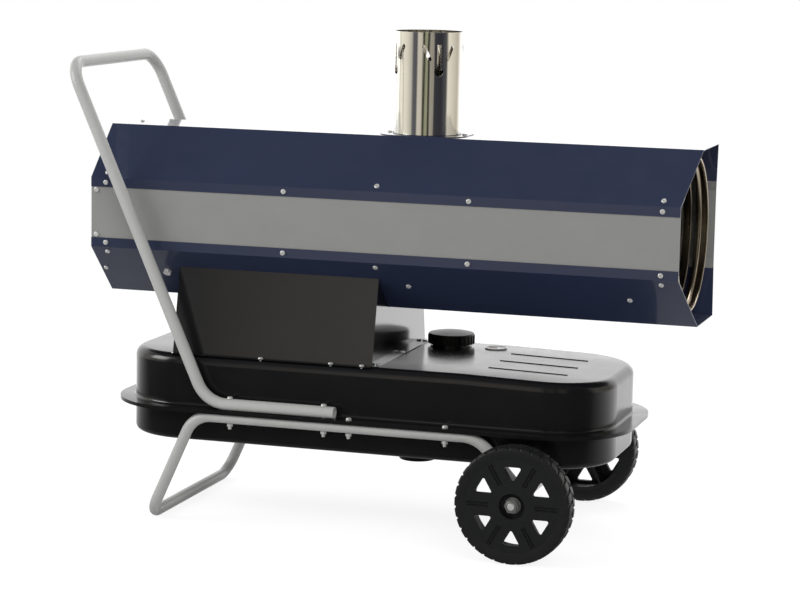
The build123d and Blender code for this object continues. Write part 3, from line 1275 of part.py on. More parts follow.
with BuildPart() as fuel_cap:
    with BuildSketch(floor_plane(CAP_BOTTOM, CAP_X, CAP_Y)):
        Circle(CAP_BAND)
        with PolarLocations(CAP_BAND, CAP_RIDGES):
            Circle(CAP_RIDGE_RADIUS)
    extrude(amount=CAP_RIM - CAP_SHOULDER)
    with BuildSketch(CAP_SECTION):
        with BuildLine():
            Line((0, 0), (CAP_BAND, 0))
            Line((CAP_BAND, 0), (CAP_BAND, CAP_RIM))
            ThreePointArc(
                (CAP_BAND, CAP_RIM),
                (CAP_BAND / 2, CAP_RIM + CAP_DOME - DOME_RADIUS + DOME_HALF_WAY),
                (0, CAP_RIM + CAP_DOME),
            )
            Line((0, CAP_RIM + CAP_DOME), (0, 0))
        make_face()
    revolve(axis=Axis(CAP_SECTION.origin, (0, 0, 1)))
    rounds = fuel_cap.edges().filter_by(GeomType.CIRCLE)
    bands = ShapeList(e for e in rounds if abs(e.radius - CAP_BAND) < CAP_EDGE)
    fillet(bands.sort_by(Axis.Z)[-1], CAP_EDGE)
    with BuildSketch(floor_plane(CAP_BOTTOM, CAP_X, CAP_Y)):
        Circle(CAP_BORE)
    extrude(amount=NECK_TOP - CAP_BOTTOM + TOUCH_GAP, mode=Mode.SUBTRACT)

# ---------------------------------------------------------------- level gauge
FLOAT_PIVOT_Z = TANK_TOP - GAUGE_STEM_DROP + GAUGE_PIN_LIFT
FLOAT_PLANE = Plane(
    origin=(MID_X + GAUGE_X, CAP_Y, FLOAT_PIVOT_Z), x_dir=(1, 0, 0), z_dir=(0, -1, 0)
)

with BuildPart() as level_gauge:
    with BuildSketch(floor_plane(TANK_TOP, GAUGE_X, CAP_Y)):
        Circle(GAUGE_RADIUS)
    extrude(amount=GAUGE_RISE)
    with BuildSketch(floor_plane(TANK_TOP + GAUGE_FLOOR, GAUGE_X, CAP_Y)):
        Circle(GAUGE_RADIUS - GAUGE_RIM)
    extrude(amount=GAUGE_RISE, mode=Mode.SUBTRACT)
    with BuildSketch(floor_plane(TANK_TOP, GAUGE_X, CAP_Y)):
        Circle(GAUGE_STEM_RADIUS)
    extrude(amount=-GAUGE_STEM_DROP)
    with BuildSketch(floor_plane(TANK_TOP - GAUGE_STEM_DROP, GAUGE_X, CAP_Y)):
        Rectangle(2 * GAUGE_STEM_RADIUS, GAUGE_SLOT)
    extrude(amount=GAUGE_STEM_DROP - 2 * TANK_SHEET, mode=Mode.SUBTRACT)
    with BuildSketch(FLOAT_PLANE):
        Circle(FLOAT_PIN_RADIUS)
    extrude(amount=GAUGE_STEM_RADIUS - GAUGE_SLOT / 4, both=True)

POINTER_Z = TANK_TOP + GAUGE_FLOOR

with BuildPart() as gauge_pointer:
    with BuildSketch(floor_plane(POINTER_Z + TOUCH_GAP, GAUGE_X, CAP_Y)):
        Circle(POINTER_EYE)
        with Locations((-POINTER_LENGTH / 2, 0)):
            Rectangle(POINTER_LENGTH, POINTER_WIDTH)
    extrude(amount=POINTER_SHEET)

with BuildPart() as float_arm:
    with BuildSketch(FLOAT_PLANE):
        with Locations((-FLOAT_ARM / 2, 0)):
            Rectangle(FLOAT_ARM, FLOAT_BAR)
        Circle(2 * FLOAT_BAR)
        Circle(FLOAT_PIN_RADIUS + RUN_FIT, mode=Mode.SUBTRACT)
    extrude(amount=GAUGE_SLOT / 2 - TOUCH_GAP, both=True)
    with BuildSketch(FLOAT_PLANE):
        with Locations((-FLOAT_ARM - 0.9 * FLOAT_RADIUS, 0)):
            Circle(FLOAT_RADIUS)
    extrude(amount=FLOAT_LENGTH / 2, both=True)

# ---------------------------------------------------------------- trolley frame
def tube_along(points, radii, radius, wall):
    """A bent tube: straight runs joined by tangent arcs."""
    with BuildPart() as tube:
        with BuildLine() as route:
            FilletPolyline(*points, radius=radii)
        start = route.wire()
        with BuildSketch(Plane(origin=start @ 0, z_dir=start % 0)):
            Circle(radius)
            Circle(radius - wall, mode=Mode.SUBTRACT)
        sweep(path=start)
    return tube.part


AXLE_Z = WHEEL_RADIUS
SLEEVE_OUT = WHEEL_FACE_Y - WHEEL_WIDTH - TOUCH_GAP - WASHER_SHEET
SLEEVE_IN = RAIL_Y - SLEEVE_REACH


def rail_points(side):
    """One rail, from the axle end to the foot."""
    y = side * RAIL_Y
    return [
        (MID_X + WHEEL_X, y, AXLE_Z),
        (MID_X + RAIL_FRONT_X, y, RAIL_Z),
        (MID_X + RAIL_REAR_X, y, RAIL_Z),
        (MID_X + FOOT_X, y, RAIL_RADIUS),
    ]


with BuildPart() as frame_tube:
    near_rail = rail_points(NEAR)
    far_rail = rail_points(FAR)
    rail_bends = [FRONT_BEND, REAR_BEND, FOOT_BEND]
    add(
        tube_along(
            near_rail + far_rail[::-1], rail_bends + rail_bends[::-1], RAIL_RADIUS, RAIL_WALL
        )
    )
    for side in (NEAR, FAR):
        with BuildSketch(wheel_plane(side * SLEEVE_OUT)):
            Circle(SLEEVE_RADIUS)
        extrude(amount=side * (SLEEVE_OUT - SLEEVE_IN))
    for side in (NEAR, FAR):
        with BuildSketch(wheel_plane(side * SLEEVE_OUT)):
            Circle(AXLE_RADIUS + SLIP_FIT)
        extrude(amount=side * (SLEEVE_OUT - SLEEVE_IN), mode=Mode.SUBTRACT)
    with Locations(*bolt_seats(BOLT_XS, RAIL_Z)):
        Hole(RAIL_BOLT_HOLE, 2 * RAIL_RADIUS)

HANDLE_Z = SEAM_Z + TANK_SHEET + HANDLE_RADIUS


def handle_points(side):
    """One side of the handle, from its open end on the flange to the top corner."""
    y = side * RAIL_Y
    return [
        (MID_X + HANDLE_END_X, y, HANDLE_Z),
        (MID_X + HANDLE_CORNER_X, y, HANDLE_Z),
        (MID_X + HANDLE_TOP_X, y, HANDLE_TOP_Z),
    ]


with BuildPart() as handle_tube:
    handle_route = handle_points(NEAR) + handle_points(FAR)[::-1]
    handle_bends = [HANDLE_LOW_BEND, HANDLE_TOP_BEND, HANDLE_TOP_BEND, HANDLE_LOW_BEND]
    add(tube_along(handle_route, handle_bends, HANDLE_RADIUS, HANDLE_WALL))
    with Locations(*bolt_seats(HANDLE_BOLT_X, HANDLE_Z)):
        Hole(RAIL_BOLT_HOLE, 2 * HANDLE_RADIUS)

HANDLE_TOP_FACE = HANDLE_Z + HANDLE_RADIUS
RAIL_UNDER = RAIL_Z - RAIL_RADIUS

with BuildPart() as long_bolt:
    long_length = HANDLE_TOP_FACE - RAIL_UNDER + BOLT_TAIL
    add(pan_screw(BOLT_HEAD_RADIUS, BOLT_HEAD_HEIGHT, BOLT_RADIUS, long_length))

with BuildPart() as short_bolt:
    short_length = SEAM_Z + TANK_SHEET - RAIL_UNDER + BOLT_TAIL
    add(pan_screw(BOLT_HEAD_RADIUS, BOLT_HEAD_HEIGHT, BOLT_RADIUS, short_length))

with BuildPart() as frame_bolts:
    with Locations(*bolt_seats(HANDLE_BOLT_X, HANDLE_TOP_FACE)):
        add(long_bolt.part)
    with Locations(*bolt_seats(RAIL_BOLT_X, SEAM_Z + TANK_SHEET)):
        add(short_bolt.part)

with BuildPart() as frame_nuts:
    for seat in bolt_seats(BOLT_XS, RAIL_UNDER):
        with BuildSketch(seat):
            RegularPolygon(NUT_RADIUS, 6)
            Circle(BOLT_RADIUS, mode=Mode.SUBTRACT)
        extrude(amount=-NUT_HEIGHT)

# ---------------------------------------------------------------- axle and wheels
WASHER_Y = WHEEL_FACE_Y - HUB_RECESS + TOUCH_GAP
AXLE_NUT_Y = WASHER_Y + WASHER_SHEET
AXLE_END_Y = AXLE_NUT_Y + AXLE_NUT_HEIGHT + AXLE_TAIL

with BuildPart() as axle:
    with BuildSketch(wheel_plane(AXLE_END_Y)):
        Circle(AXLE_RADIUS)
    extrude(amount=2 * AXLE_END_Y)
    chamfer(axle.edges().filter_by(GeomType.CIRCLE), AXLE_CHAMFER)

with BuildPart() as axle_washers:
    for side in (NEAR, FAR):
        for y in (SLEEVE_OUT, WASHER_Y):
            with BuildSketch(wheel_plane(side * y)):
                Circle(WASHER_RADIUS)
                Circle(AXLE_RADIUS + SLIP_FIT, mode=Mode.SUBTRACT)
            extrude(amount=-side * WASHER_SHEET)

with BuildPart() as axle_nuts:
    for side in (NEAR, FAR):
        with BuildSketch(wheel_plane(side * AXLE_NUT_Y)):
            RegularPolygon(AXLE_NUT_RADIUS, 6)
            Circle(AXLE_RADIUS, mode=Mode.SUBTRACT)
        extrude(amount=-side * AXLE_NUT_HEIGHT)
        with BuildSketch(wheel_plane(side * (AXLE_NUT_Y + AXLE_NUT_HEIGHT))):
            Circle(NUT_COLLAR_RADIUS)
            Circle(AXLE_RADIUS, mode=Mode.SUBTRACT)
        extrude(amount=-side * NUT_COLLAR_RISE)
        rim = axle_nuts.edges().filter_by(GeomType.CIRCLE)
        rim = [e for e in rim if abs(e.radius - NUT_COLLAR_RADIUS) < 0.01]
        outer = AXLE_NUT_Y + AXLE_NUT_HEIGHT + NUT_COLLAR_RISE
        fillet([e for e in rim if abs(e.center().Y - side * outer) < 0.01], NUT_COLLAR_EDGE)

RIM_RADIUS = WHEEL_RADIUS - TYRE_DEPTH


def wheel_hub(side):
    """A moulded disc: a thin web with a deep rim, a recessed boss, six windows between six
    spokes that have a twin groove in front and a rib behind."""
    with BuildPart() as hub:
        with BuildSketch(wheel_plane(side * (WHEEL_FACE_Y - HUB_INSET))):
            Circle(RIM_RADIUS)
        extrude(amount=side * (WHEEL_WIDTH - 2 * HUB_INSET))
        with BuildSketch(wheel_plane(side * (WHEEL_FACE_Y - WHEEL_WIDTH))):
            Circle(RIM_RADIUS - RIM_WALL)
            Circle(HUB_RADIUS, mode=Mode.SUBTRACT)
            for i in range(WINDOW_COUNT // 2):
                turn = 360.0 / WINDOW_COUNT * i
                Rectangle(2 * RIM_RADIUS, RIB_SHEET, rotation=turn, mode=Mode.SUBTRACT)
        extrude(amount=side * (HUB_INSET + WEB_SHEET - WHEEL_WIDTH), mode=Mode.SUBTRACT)
        window = [(WINDOW_TIP, 0), (WINDOW_BASE, WINDOW_WIDTH / 2), (WINDOW_BASE, -WINDOW_WIDTH / 2)]
        with BuildSketch(wheel_plane(side * WHEEL_FACE_Y)):
            for i in range(WINDOW_COUNT):
                turn = radians(360.0 / WINDOW_COUNT * (i + 0.5))
                corners = [
                    (x * cos(turn) - y * sin(turn), x * sin(turn) + y * cos(turn))
                    for x, y in window
                ]
                with BuildLine():
                    FilletPolyline(*corners, close=True, radius=WINDOW_CORNER)
                make_face()
        extrude(amount=side * WHEEL_WIDTH, mode=Mode.SUBTRACT)
        with BuildSketch(wheel_plane(side * (WHEEL_FACE_Y - HUB_INSET))):
            with PolarLocations((GROOVE_START + GROOVE_END) / 2, WINDOW_COUNT):
                with Locations((0, -GROOVE_PITCH / 2), (0, GROOVE_PITCH / 2)):
                    SlotOverall(GROOVE_END - GROOVE_START, GROOVE_WIDTH)
        extrude(amount=side * GROOVE_DEPTH, mode=Mode.SUBTRACT)
        with BuildSketch(wheel_plane(side * WHEEL_FACE_Y)):
            Circle(HUB_RECESS_RADIUS)
        extrude(amount=side * HUB_RECESS, mode=Mode.SUBTRACT)
        with BuildSketch(wheel_plane(side * WHEEL_FACE_Y)):
            Circle(AXLE_RADIUS + RUN_FIT)
        extrude(amount=side * WHEEL_WIDTH, mode=Mode.SUBTRACT)
    return hub.part


def wheel_tyre(side):
    """A solid tyre with rounded shoulders."""
    with BuildPart() as tyre:
        with BuildSketch(wheel_plane(side * WHEEL_FACE_Y)):
            Circle(WHEEL_RADIUS)
        extrude(amount=side * WHEEL_WIDTH)
        fillet(tyre.edges(), TYRE_SHOULDER)
        with BuildSketch(wheel_plane(side * WHEEL_FACE_Y)):
            Circle(RIM_RADIUS)
        extrude(amount=side * WHEEL_WIDTH, mode=Mode.SUBTRACT)
    return tyre.part


with BuildPart() as wheel_hub_near:
    add(wheel_hub(NEAR))

with BuildPart() as wheel_hub_far:
    add(wheel_hub(FAR))

with BuildPart() as wheel_tyre_near:
    add(wheel_tyre(NEAR))

with BuildPart() as wheel_tyre_far:
    add(wheel_tyre(FAR))


# ---------------------------------------------------------------- controls
ROCKER_HALF = SWITCH_HEIGHT / 2 - SWITCH_RIM - TOUCH_GAP
ROCKER_SIDE = SWITCH_WIDTH / 2 - SWITCH_RIM - TOUCH_GAP
ROCKER_SECTION = Plane(
    origin=control_plane(SWITCH_Y).origin, x_dir=(0, 0, 1), z_dir=(0, -1, 0)
)

with BuildPart() as switch_frame:
    with BuildSketch(control_plane(SWITCH_Y)):
        Rectangle(SWITCH_WIDTH, SWITCH_HEIGHT)
    extrude(amount=SWITCH_RIM / 2)
    with BuildSketch(control_plane(SWITCH_Y)):
        Rectangle(SWITCH_WIDTH - SWITCH_RIM - SLIP_FIT, SWITCH_HEIGHT - SWITCH_RIM - SLIP_FIT)
    extrude(amount=-SWITCH_DEPTH)
    with BuildSketch(control_plane(SWITCH_Y).offset(SWITCH_RIM)):
        Rectangle(SWITCH_WIDTH - 2 * SWITCH_RIM, SWITCH_HEIGHT - 2 * SWITCH_RIM)
    extrude(amount=-SWITCH_DEPTH, mode=Mode.SUBTRACT)
    with BuildSketch(ROCKER_SECTION):
        Circle(ROCKER_PIN + RUN_FIT)
    extrude(amount=ROCKER_SIDE + ROCKER_PIN_REACH + TOUCH_GAP, both=True, mode=Mode.SUBTRACT)

with BuildPart() as switch_rocker:
    with BuildSketch(ROCKER_SECTION):
        with BuildLine():
            Polyline(
                (-ROCKER_HALF + ROCKER_SLACK, ROCKER_LOW - ROCKER_SKIRT),
                (-ROCKER_HALF + ROCKER_SLACK, ROCKER_LOW),
                (0, ROCKER_MIDDLE),
                (ROCKER_HALF - ROCKER_SLACK, ROCKER_HIGH),
                (ROCKER_HALF - ROCKER_SLACK, ROCKER_HIGH - ROCKER_SKIRT),
                (ROCKER_FOOT, -ROCKER_DEPTH),
                (-ROCKER_FOOT, -ROCKER_DEPTH),
                close=True,
            )
        make_face()
    extrude(amount=ROCKER_SIDE, both=True)
    with BuildSketch(ROCKER_SECTION):
        Circle(ROCKER_PIN)
    extrude(amount=ROCKER_SIDE + ROCKER_PIN_REACH, both=True)

with BuildPart() as thermostat_knob:
    with BuildSketch(control_plane(KNOB_Y).offset(KNOB_GAP)):
        Circle(KNOB_RADIUS)
    extrude(amount=KNOB_DEPTH)
    chamfer(thermostat_knob.edges().group_by(Axis.X)[0], KNOB_CHAMFER)
    with BuildSketch(control_plane(KNOB_Y).offset(KNOB_DEPTH + KNOB_GAP)):
        with Locations((0, KNOB_RADIUS * 0.55)):
            Rectangle(KNOB_MARK, KNOB_RADIUS * 0.7)
    extrude(amount=-KNOB_MARK_DEPTH, mode=Mode.SUBTRACT)
    with BuildSketch(control_plane(KNOB_Y).offset(KNOB_GAP)):
        Circle(KNOB_SHAFT_RADIUS)
    extrude(amount=-KNOB_TAIL)

with BuildPart() as thermostat:
    with BuildSketch(control_plane(KNOB_Y).offset(-BOX_SHEET)):
        Rectangle(THERMOSTAT_WIDTH, THERMOSTAT_WIDTH)
    extrude(amount=-THERMOSTAT_DEPTH)
    with BuildSketch(control_plane(KNOB_Y)):
        Circle(KNOB_SHAFT_RADIUS + RUN_FIT)
    extrude(amount=-KNOB_TAIL, mode=Mode.SUBTRACT)

with BuildPart() as indicator_lamp:
    with BuildSketch(control_plane(LAMP_Y)):
        Circle(LAMP_RADIUS + LAMP_RIM)
    extrude(amount=LAMP_PROUD)
    fillet(indicator_lamp.edges().group_by(Axis.X)[0], LAMP_DOME)
    with BuildSketch(control_plane(LAMP_Y)):
        Circle(LAMP_RADIUS)
    extrude(amount=-LAMP_TAIL)

with BuildPart() as reset_housing:
    with BuildSketch(control_plane(RESET_Y).offset(-BOX_SHEET)):
        Circle(BUTTON_RADIUS + RESET_WALL)
        Circle(BUTTON_RADIUS + TOUCH_GAP, mode=Mode.SUBTRACT)
    extrude(amount=-RESET_DEPTH)
    with BuildSketch(control_plane(RESET_Y).offset(-BOX_SHEET - RESET_DEPTH)):
        Circle(BUTTON_RADIUS + RESET_WALL)
    extrude(amount=-RESET_FLOOR)
    with BuildSketch(control_plane(RESET_Y)):
        Circle(BUTTON_RADIUS + RESET_WALL)
        Circle(BUTTON_RADIUS + TOUCH_GAP, mode=Mode.SUBTRACT)
    extrude(amount=BUTTON_GUARD)

with BuildPart() as reset_button:
    with BuildSketch(control_plane(RESET_Y).offset(BUTTON_PROUD)):
        Circle(BUTTON_RADIUS)
    extrude(amount=RESET_TRAVEL + TOUCH_GAP - BUTTON_PROUD - BOX_SHEET - RESET_DEPTH)
    fillet(reset_button.edges().group_by(Axis.X)[0], RESET_EDGE)

with BuildPart() as cable_gland:
    with BuildSketch(control_plane(GLAND_Y)):
        RegularPolygon(GLAND_RADIUS, 6)
    extrude(amount=GLAND_HEX)
    with BuildSketch(control_plane(GLAND_Y).offset(GLAND_HEX)):
        Circle(GLAND_RADIUS - GLAND_NOSE)
    extrude(amount=GLAND_REACH - GLAND_HEX)
    fillet(cable_gland.edges().group_by(Axis.X)[0], GLAND_EDGE)
    with BuildSketch(control_plane(GLAND_Y)):
        Circle(GLAND_THREAD)
    extrude(amount=-GLAND_TAIL)
    with BuildSketch(control_plane(GLAND_Y).offset(GLAND_REACH)):
        Circle(GLAND_BORE)
    extrude(amount=-GLAND_REACH - GLAND_TAIL, mode=Mode.SUBTRACT)

# ---------------------------------------------------------------- inside the box
TRAY_LENGTH = BOX_LENGTH - 4 * TRAY_INSET
TRAY_X = (BOX_FRONT_X + BOX_REAR_X) / 2 + TRAY_INSET
TRAY_Z = TANK_TOP + POST_HEIGHT
TRAY_FACE = TRAY_Z + TRAY_SHEET

with BuildPart() as component_tray:
    with BuildSketch(floor_plane(TRAY_Z, TRAY_X)):
        RectangleRounded(TRAY_LENGTH, TRAY_WIDTH, TRAY_CORNER)
    extrude(amount=TRAY_SHEET)
    with BuildSketch(floor_plane(TANK_TOP, TRAY_X)):
        with GridLocations(TRAY_LENGTH - 2 * POST_INSET, TRAY_WIDTH - 2 * POST_INSET, 2, 2):
            Circle(POST_RADIUS)
    extrude(amount=POST_HEIGHT)

with BuildPart() as ignition_transformer:
    with BuildSketch(floor_plane(TRAY_FACE, TRAY_X + TRANSFORMER_X, TRANSFORMER_Y)):
        RectangleRounded(TRANSFORMER_LENGTH, TRANSFORMER_WIDTH, TRANSFORMER_CORNER)
    extrude(amount=TRANSFORMER_HEIGHT)
    fillet(ignition_transformer.edges().group_by(Axis.Z)[-1], TRANSFORMER_EDGE)
    terminal_y = TRANSFORMER_Y - TRANSFORMER_WIDTH / 2
    with BuildSketch(floor_plane(TRAY_FACE + TERMINAL_LIFT, TRAY_X + TRANSFORMER_X, terminal_y)):
        with GridLocations(TERMINAL_PITCH, TERMINAL_PITCH, 2, 1):
            Circle(TERMINAL_RADIUS)
    extrude(amount=TERMINAL_HEIGHT)

BOARD_Z = TRAY_FACE + SPACER_HEIGHT

with BuildPart() as control_board:
    with BuildSketch(floor_plane(BOARD_Z, TRAY_X + BOARD_X, BOARD_Y)):
        Rectangle(BOARD_LENGTH, BOARD_WIDTH)
    extrude(amount=BOARD_SHEET)
    with BuildSketch(floor_plane(TRAY_FACE, TRAY_X + BOARD_X, BOARD_Y)):
        with GridLocations(BOARD_LENGTH - 2 * SPACER_INSET, BOARD_WIDTH - 2 * SPACER_INSET, 2, 2):
            Circle(SPACER_RADIUS)
    extrude(amount=SPACER_HEIGHT)
    with BuildSketch(floor_plane(BOARD_Z + BOARD_SHEET, TRAY_X + BOARD_X, BOARD_Y)):
        with GridLocations(RELAY_PITCH, RELAY_PITCH, RELAY_COUNT, 1):
            Rectangle(RELAY_LENGTH, RELAY_WIDTH)
    extrude(amount=RELAY_HEIGHT)

# ---------------------------------------------------------------- fuel line
FILTER_TOP = TANK_TOP + FILTER_HEIGHT

with BuildPart() as fuel_filter:
    with BuildSketch(floor_plane(TANK_TOP, FILTER_X, FILTER_Y)):
        Circle(FILTER_RADIUS)
    extrude(amount=FILTER_HEIGHT)
    fillet(fuel_filter.edges().group_by(Axis.Z)[-1], FILTER_EDGE)
    with BuildSketch(floor_plane(TANK_TOP, FILTER_X, FILTER_Y)):
        Circle(PICKUP_RADIUS)
    extrude(amount=TANK_BOTTOM + PICKUP_LIFT - TANK_TOP)

PUMP_PORT_X = MOTOR_FRONT_X + PUMP_LENGTH / 2 + HOSE_RADIUS
PUMP_UNDER = AXIS_Z - PUMP_RADIUS

with BuildPart() as fuel_hose:
    hose_points = [
        (MID_X + FILTER_X, FILTER_Y, FILTER_TOP),
        (MID_X + FILTER_X, FILTER_Y, SHELL_BOTTOM + HOSE_RISE),
        (MID_X + PUMP_PORT_X, 0, PUMP_UNDER - HOSE_DROP),
        (MID_X + PUMP_PORT_X, 0, PUMP_UNDER + PUMP_EDGE),
    ]
    add(tube_along(hose_points, [HOSE_BEND, HOSE_BEND], HOSE_RADIUS, HOSE_WALL))
    with BuildSketch(along_x(MOTOR_FRONT_X)):
        Circle(PUMP_RADIUS)
    extrude(amount=PUMP_LENGTH, mode=Mode.SUBTRACT)

# ---------------------------------------------------------------- write every piece
PIECES = {
    "upper_shell": upper_shell,
    "lower_shell": lower_shell,
    "side_panel_near": side_panel_near,
    "side_panel_far": side_panel_far,
    "sheet_screws": sheet_screws,
    "motor_bolts": motor_bolts,
    "inlet_guard": inlet_guard,
    "fan_ring": fan_ring,
    "fan_blade": fan_blade,
    "motor_shaft": motor_shaft,
    "fan_motor": fan_motor,
    "motor_bracket": motor_bracket,
    "fuel_pump": fuel_pump,
    "outlet_ring": outlet_ring,
    "outlet_cheeks": outlet_cheeks,
    "heat_shield": heat_shield,
    "exchanger": exchanger,
    "combustion_chamber": combustion_chamber,
    "saddles": saddles,
    "burner_tube": burner_tube,
    "nozzle_holder": nozzle_holder,
    "electrodes": electrodes,
    "flue_pipe": flue_pipe,
    "flue_collar": flue_collar,
    "box_side_near": box_side_near,
    "box_side_far": box_side_far,
    "box_front": box_front,
    "box_rear": box_rear,
    "tank_upper": tank_upper,
    "tank_lower": tank_lower,
    "drain_plug": drain_plug,
    "filler_neck": filler_neck,
    "fuel_cap": fuel_cap,
    "level_gauge": level_gauge,
    "gauge_pointer": gauge_pointer,
    "float_arm": float_arm,
    "frame_tube": frame_tube,
    "handle_tube": handle_tube,
    "frame_bolts": frame_bolts,
    "frame_nuts": frame_nuts,
    "axle": axle,
    "axle_washers": axle_washers,
    "axle_nuts": axle_nuts,
    "wheel_hub_near": wheel_hub_near,
    "wheel_hub_far": wheel_hub_far,
    "wheel_tyre_near": wheel_tyre_near,
    "wheel_tyre_far": wheel_tyre_far,
    "switch_frame": switch_frame,
    "switch_rocker": switch_rocker,
    "thermostat_knob": thermostat_knob,
    "thermostat": thermostat,
    "indicator_lamp": indicator_lamp,
    "reset_button": reset_button,
    "reset_housing": reset_housing,
    "cable_gland": cable_gland,
    "component_tray": component_tray,
    "ignition_transformer": ignition_transformer,
    "control_board": control_board,
    "fuel_filter": fuel_filter,
    "fuel_hose": fuel_hose,
}

for name, piece in PIECES.items():
    piece.part.label = name
    export_step(piece.part, f"parts/{name}.step")
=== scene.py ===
from math import cos, pi, radians, sin

import bpy
import numpy as np
from mathutils import Matrix, Vector


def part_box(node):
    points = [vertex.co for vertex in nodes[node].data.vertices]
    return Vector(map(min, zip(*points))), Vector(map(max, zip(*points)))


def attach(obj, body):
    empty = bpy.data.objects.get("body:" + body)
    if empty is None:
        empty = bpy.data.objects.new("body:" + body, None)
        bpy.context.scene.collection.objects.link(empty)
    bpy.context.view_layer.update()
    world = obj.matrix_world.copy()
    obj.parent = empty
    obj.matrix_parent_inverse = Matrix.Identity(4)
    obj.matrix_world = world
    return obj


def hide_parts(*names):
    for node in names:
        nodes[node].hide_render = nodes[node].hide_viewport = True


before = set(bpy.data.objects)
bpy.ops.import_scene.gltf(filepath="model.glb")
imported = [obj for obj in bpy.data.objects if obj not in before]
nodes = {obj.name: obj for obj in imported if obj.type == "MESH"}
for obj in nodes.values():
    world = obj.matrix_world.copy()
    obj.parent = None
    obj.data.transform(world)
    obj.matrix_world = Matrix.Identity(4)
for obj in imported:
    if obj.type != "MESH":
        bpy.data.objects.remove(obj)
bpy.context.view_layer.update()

# ---------------------------------------------------------------------- camera
# A long lens, 4.4 m away and a little above the heater, looking down by 8.5 degrees and
# from 17 degrees round towards the outlet. It leans by 1.1 degrees, as the photograph does.
VIEW_TURN = radians(17.15)
VIEW_DROP = radians(8.52)
VIEW_LEAN = radians(1.11)
CAMERA_PLACE = (1.3438, -4.3286, 1.0735)
SENSOR_MM = 36.0
LENS_MM = 115.2
forward = Vector((
    -sin(VIEW_TURN) * cos(VIEW_DROP), cos(VIEW_TURN) * cos(VIEW_DROP), -sin(VIEW_DROP)
))
level = Vector((cos(VIEW_TURN), sin(VIEW_TURN), 0))
rise = level.cross(forward)
right = level * cos(VIEW_LEAN) + rise * sin(VIEW_LEAN)
upward = rise * cos(VIEW_LEAN) - level * sin(VIEW_LEAN)
turn = Matrix((right, upward, -forward)).transposed().to_4x4()
camera_data = bpy.data.cameras.new("camera")
camera_data.sensor_width = SENSOR_MM
camera_data.lens = LENS_MM
camera = bpy.data.objects.new("camera", camera_data)
camera.matrix_world = Matrix.Translation(CAMERA_PLACE) @ turn
bpy.context.scene.collection.objects.link(camera)
bpy.context.scene.camera = camera
bpy.context.scene.view_settings.view_transform = "Standard"


# ---------------------------------------------------------------------- blue casing shells
# Two folded shells of 1.2 mm steel sheet, screwed over the side panels. They are stoved in
# a glossy navy enamel: the flat sheets mirror the room at a low angle and look deep and
# dark from in front.
NAVY_DARK, NAVY_LIGHT = "242b41", "293047"
NAVY_ROUGHNESS = 0.35
NAVY_WAVE_MM = 0.3
PEEL_DEPTH = 0.000008
NOISE_LOW, NOISE_HIGH = 0.3, 0.7      # between these lie nearly all values of a noise pattern


def pattern(size_mm):
    """The scale of a pattern on Object coordinates, which are metres, whose features are this
    many millimetres apart: 1000 divided by their distance."""
    return 1000 / size_mm


def linear(code):
    """An sRGB hex colour as linear red, green, blue and alpha: each channel c is c / 12.92
    below 0.04045, and ((c + 0.055) / 1.055) to the power 2.4 above it."""
    channels = [int(code[i:i + 2], 16) / 255 for i in (0, 2, 4)]
    return [
        c / 12.92 if c <= 0.04045 else ((c + 0.055) / 1.055) ** 2.4 for c in channels
    ] + [1]


def add_node(tree, kind, inputs=None, output=0, **settings):
    """Adds a node with its settings, sets each input or links a socket to it, and gives back
    the output asked for."""
    node = tree.nodes.new(kind)
    for name, value in settings.items():
        setattr(node, name, value)
    for key, value in (inputs or {}).items():
        if isinstance(value, bpy.types.NodeSocket):
            tree.links.new(value, node.inputs[key])
        else:
            node.inputs[key].default_value = value
    return node.outputs[output] if len(node.outputs) else None


def new_finish(name):
    """An empty material, its tree, and the place on the piece that its patterns read."""
    finish = bpy.data.materials.new(name)
    finish.use_nodes = True
    finish.node_tree.nodes.clear()
    place = add_node(finish.node_tree, "ShaderNodeTexCoord", output="Object")
    return finish, finish.node_tree, place


def dress(finish, *names):
    """Puts one finish on pieces of the CAD model."""
    for name in names:
        nodes[name].data.materials.clear()
        nodes[name].data.materials.append(finish)


def enamel(name, dark, light, roughness, wave_mm):
    """Stoved gloss paint: the colour drifts a little over 180 mm, the polish clouds over 45 mm,
    the sheet under it waves over 140 mm, and a fine orange peel of 2.2 mm softens the clear
    top layer's mirror."""
    finish, tree, place = new_finish(name)
    drift = add_node(tree, "ShaderNodeTexNoise", {
        "Vector": place, "Scale": pattern(180), "Detail": 2.0})
    colour = add_node(tree, "ShaderNodeMix", {
        0: drift, 6: linear(dark), 7: linear(light)}, output=2, data_type="RGBA")
    cloud = add_node(tree, "ShaderNodeTexNoise", {
        "Vector": place, "Scale": pattern(45), "Detail": 5.0, "Roughness": 0.65})
    satin = add_node(tree, "ShaderNodeMapRange", {
        "Value": cloud, "From Min": NOISE_LOW, "From Max": NOISE_HIGH,
        "To Min": roughness * 0.8, "To Max": roughness * 1.2})
    waves = add_node(tree, "ShaderNodeTexNoise", {
        "Vector": place, "Scale": pattern(140), "Detail": 1.0})
    sheet = add_node(tree, "ShaderNodeBump", {"Height": waves, "Distance": wave_mm / 1000})
    peel = add_node(tree, "ShaderNodeTexNoise", {
        "Vector": place, "Scale": pattern(2.2), "Detail": 1.0})
    skin = add_node(tree, "ShaderNodeBump", {
        "Height": peel, "Distance": PEEL_DEPTH, "Normal": sheet})
    shader = add_node(tree, "ShaderNodeBsdfPrincipled", {
        "Base Color": colour, "Roughness": satin, "Normal": skin, "IOR": 1.3,
        "Coat Weight": 1.0, "Coat IOR": 1.35, "Coat Roughness": 0.06})
    add_node(tree, "ShaderNodeOutputMaterial", {"Surface": shader})
    return finish


navy_enamel = enamel("stoved_navy_enamel", NAVY_DARK, NAVY_LIGHT, NAVY_ROUGHNESS, NAVY_WAVE_MM)
dress(navy_enamel, "upper_shell", "lower_shell", "flue_collar")

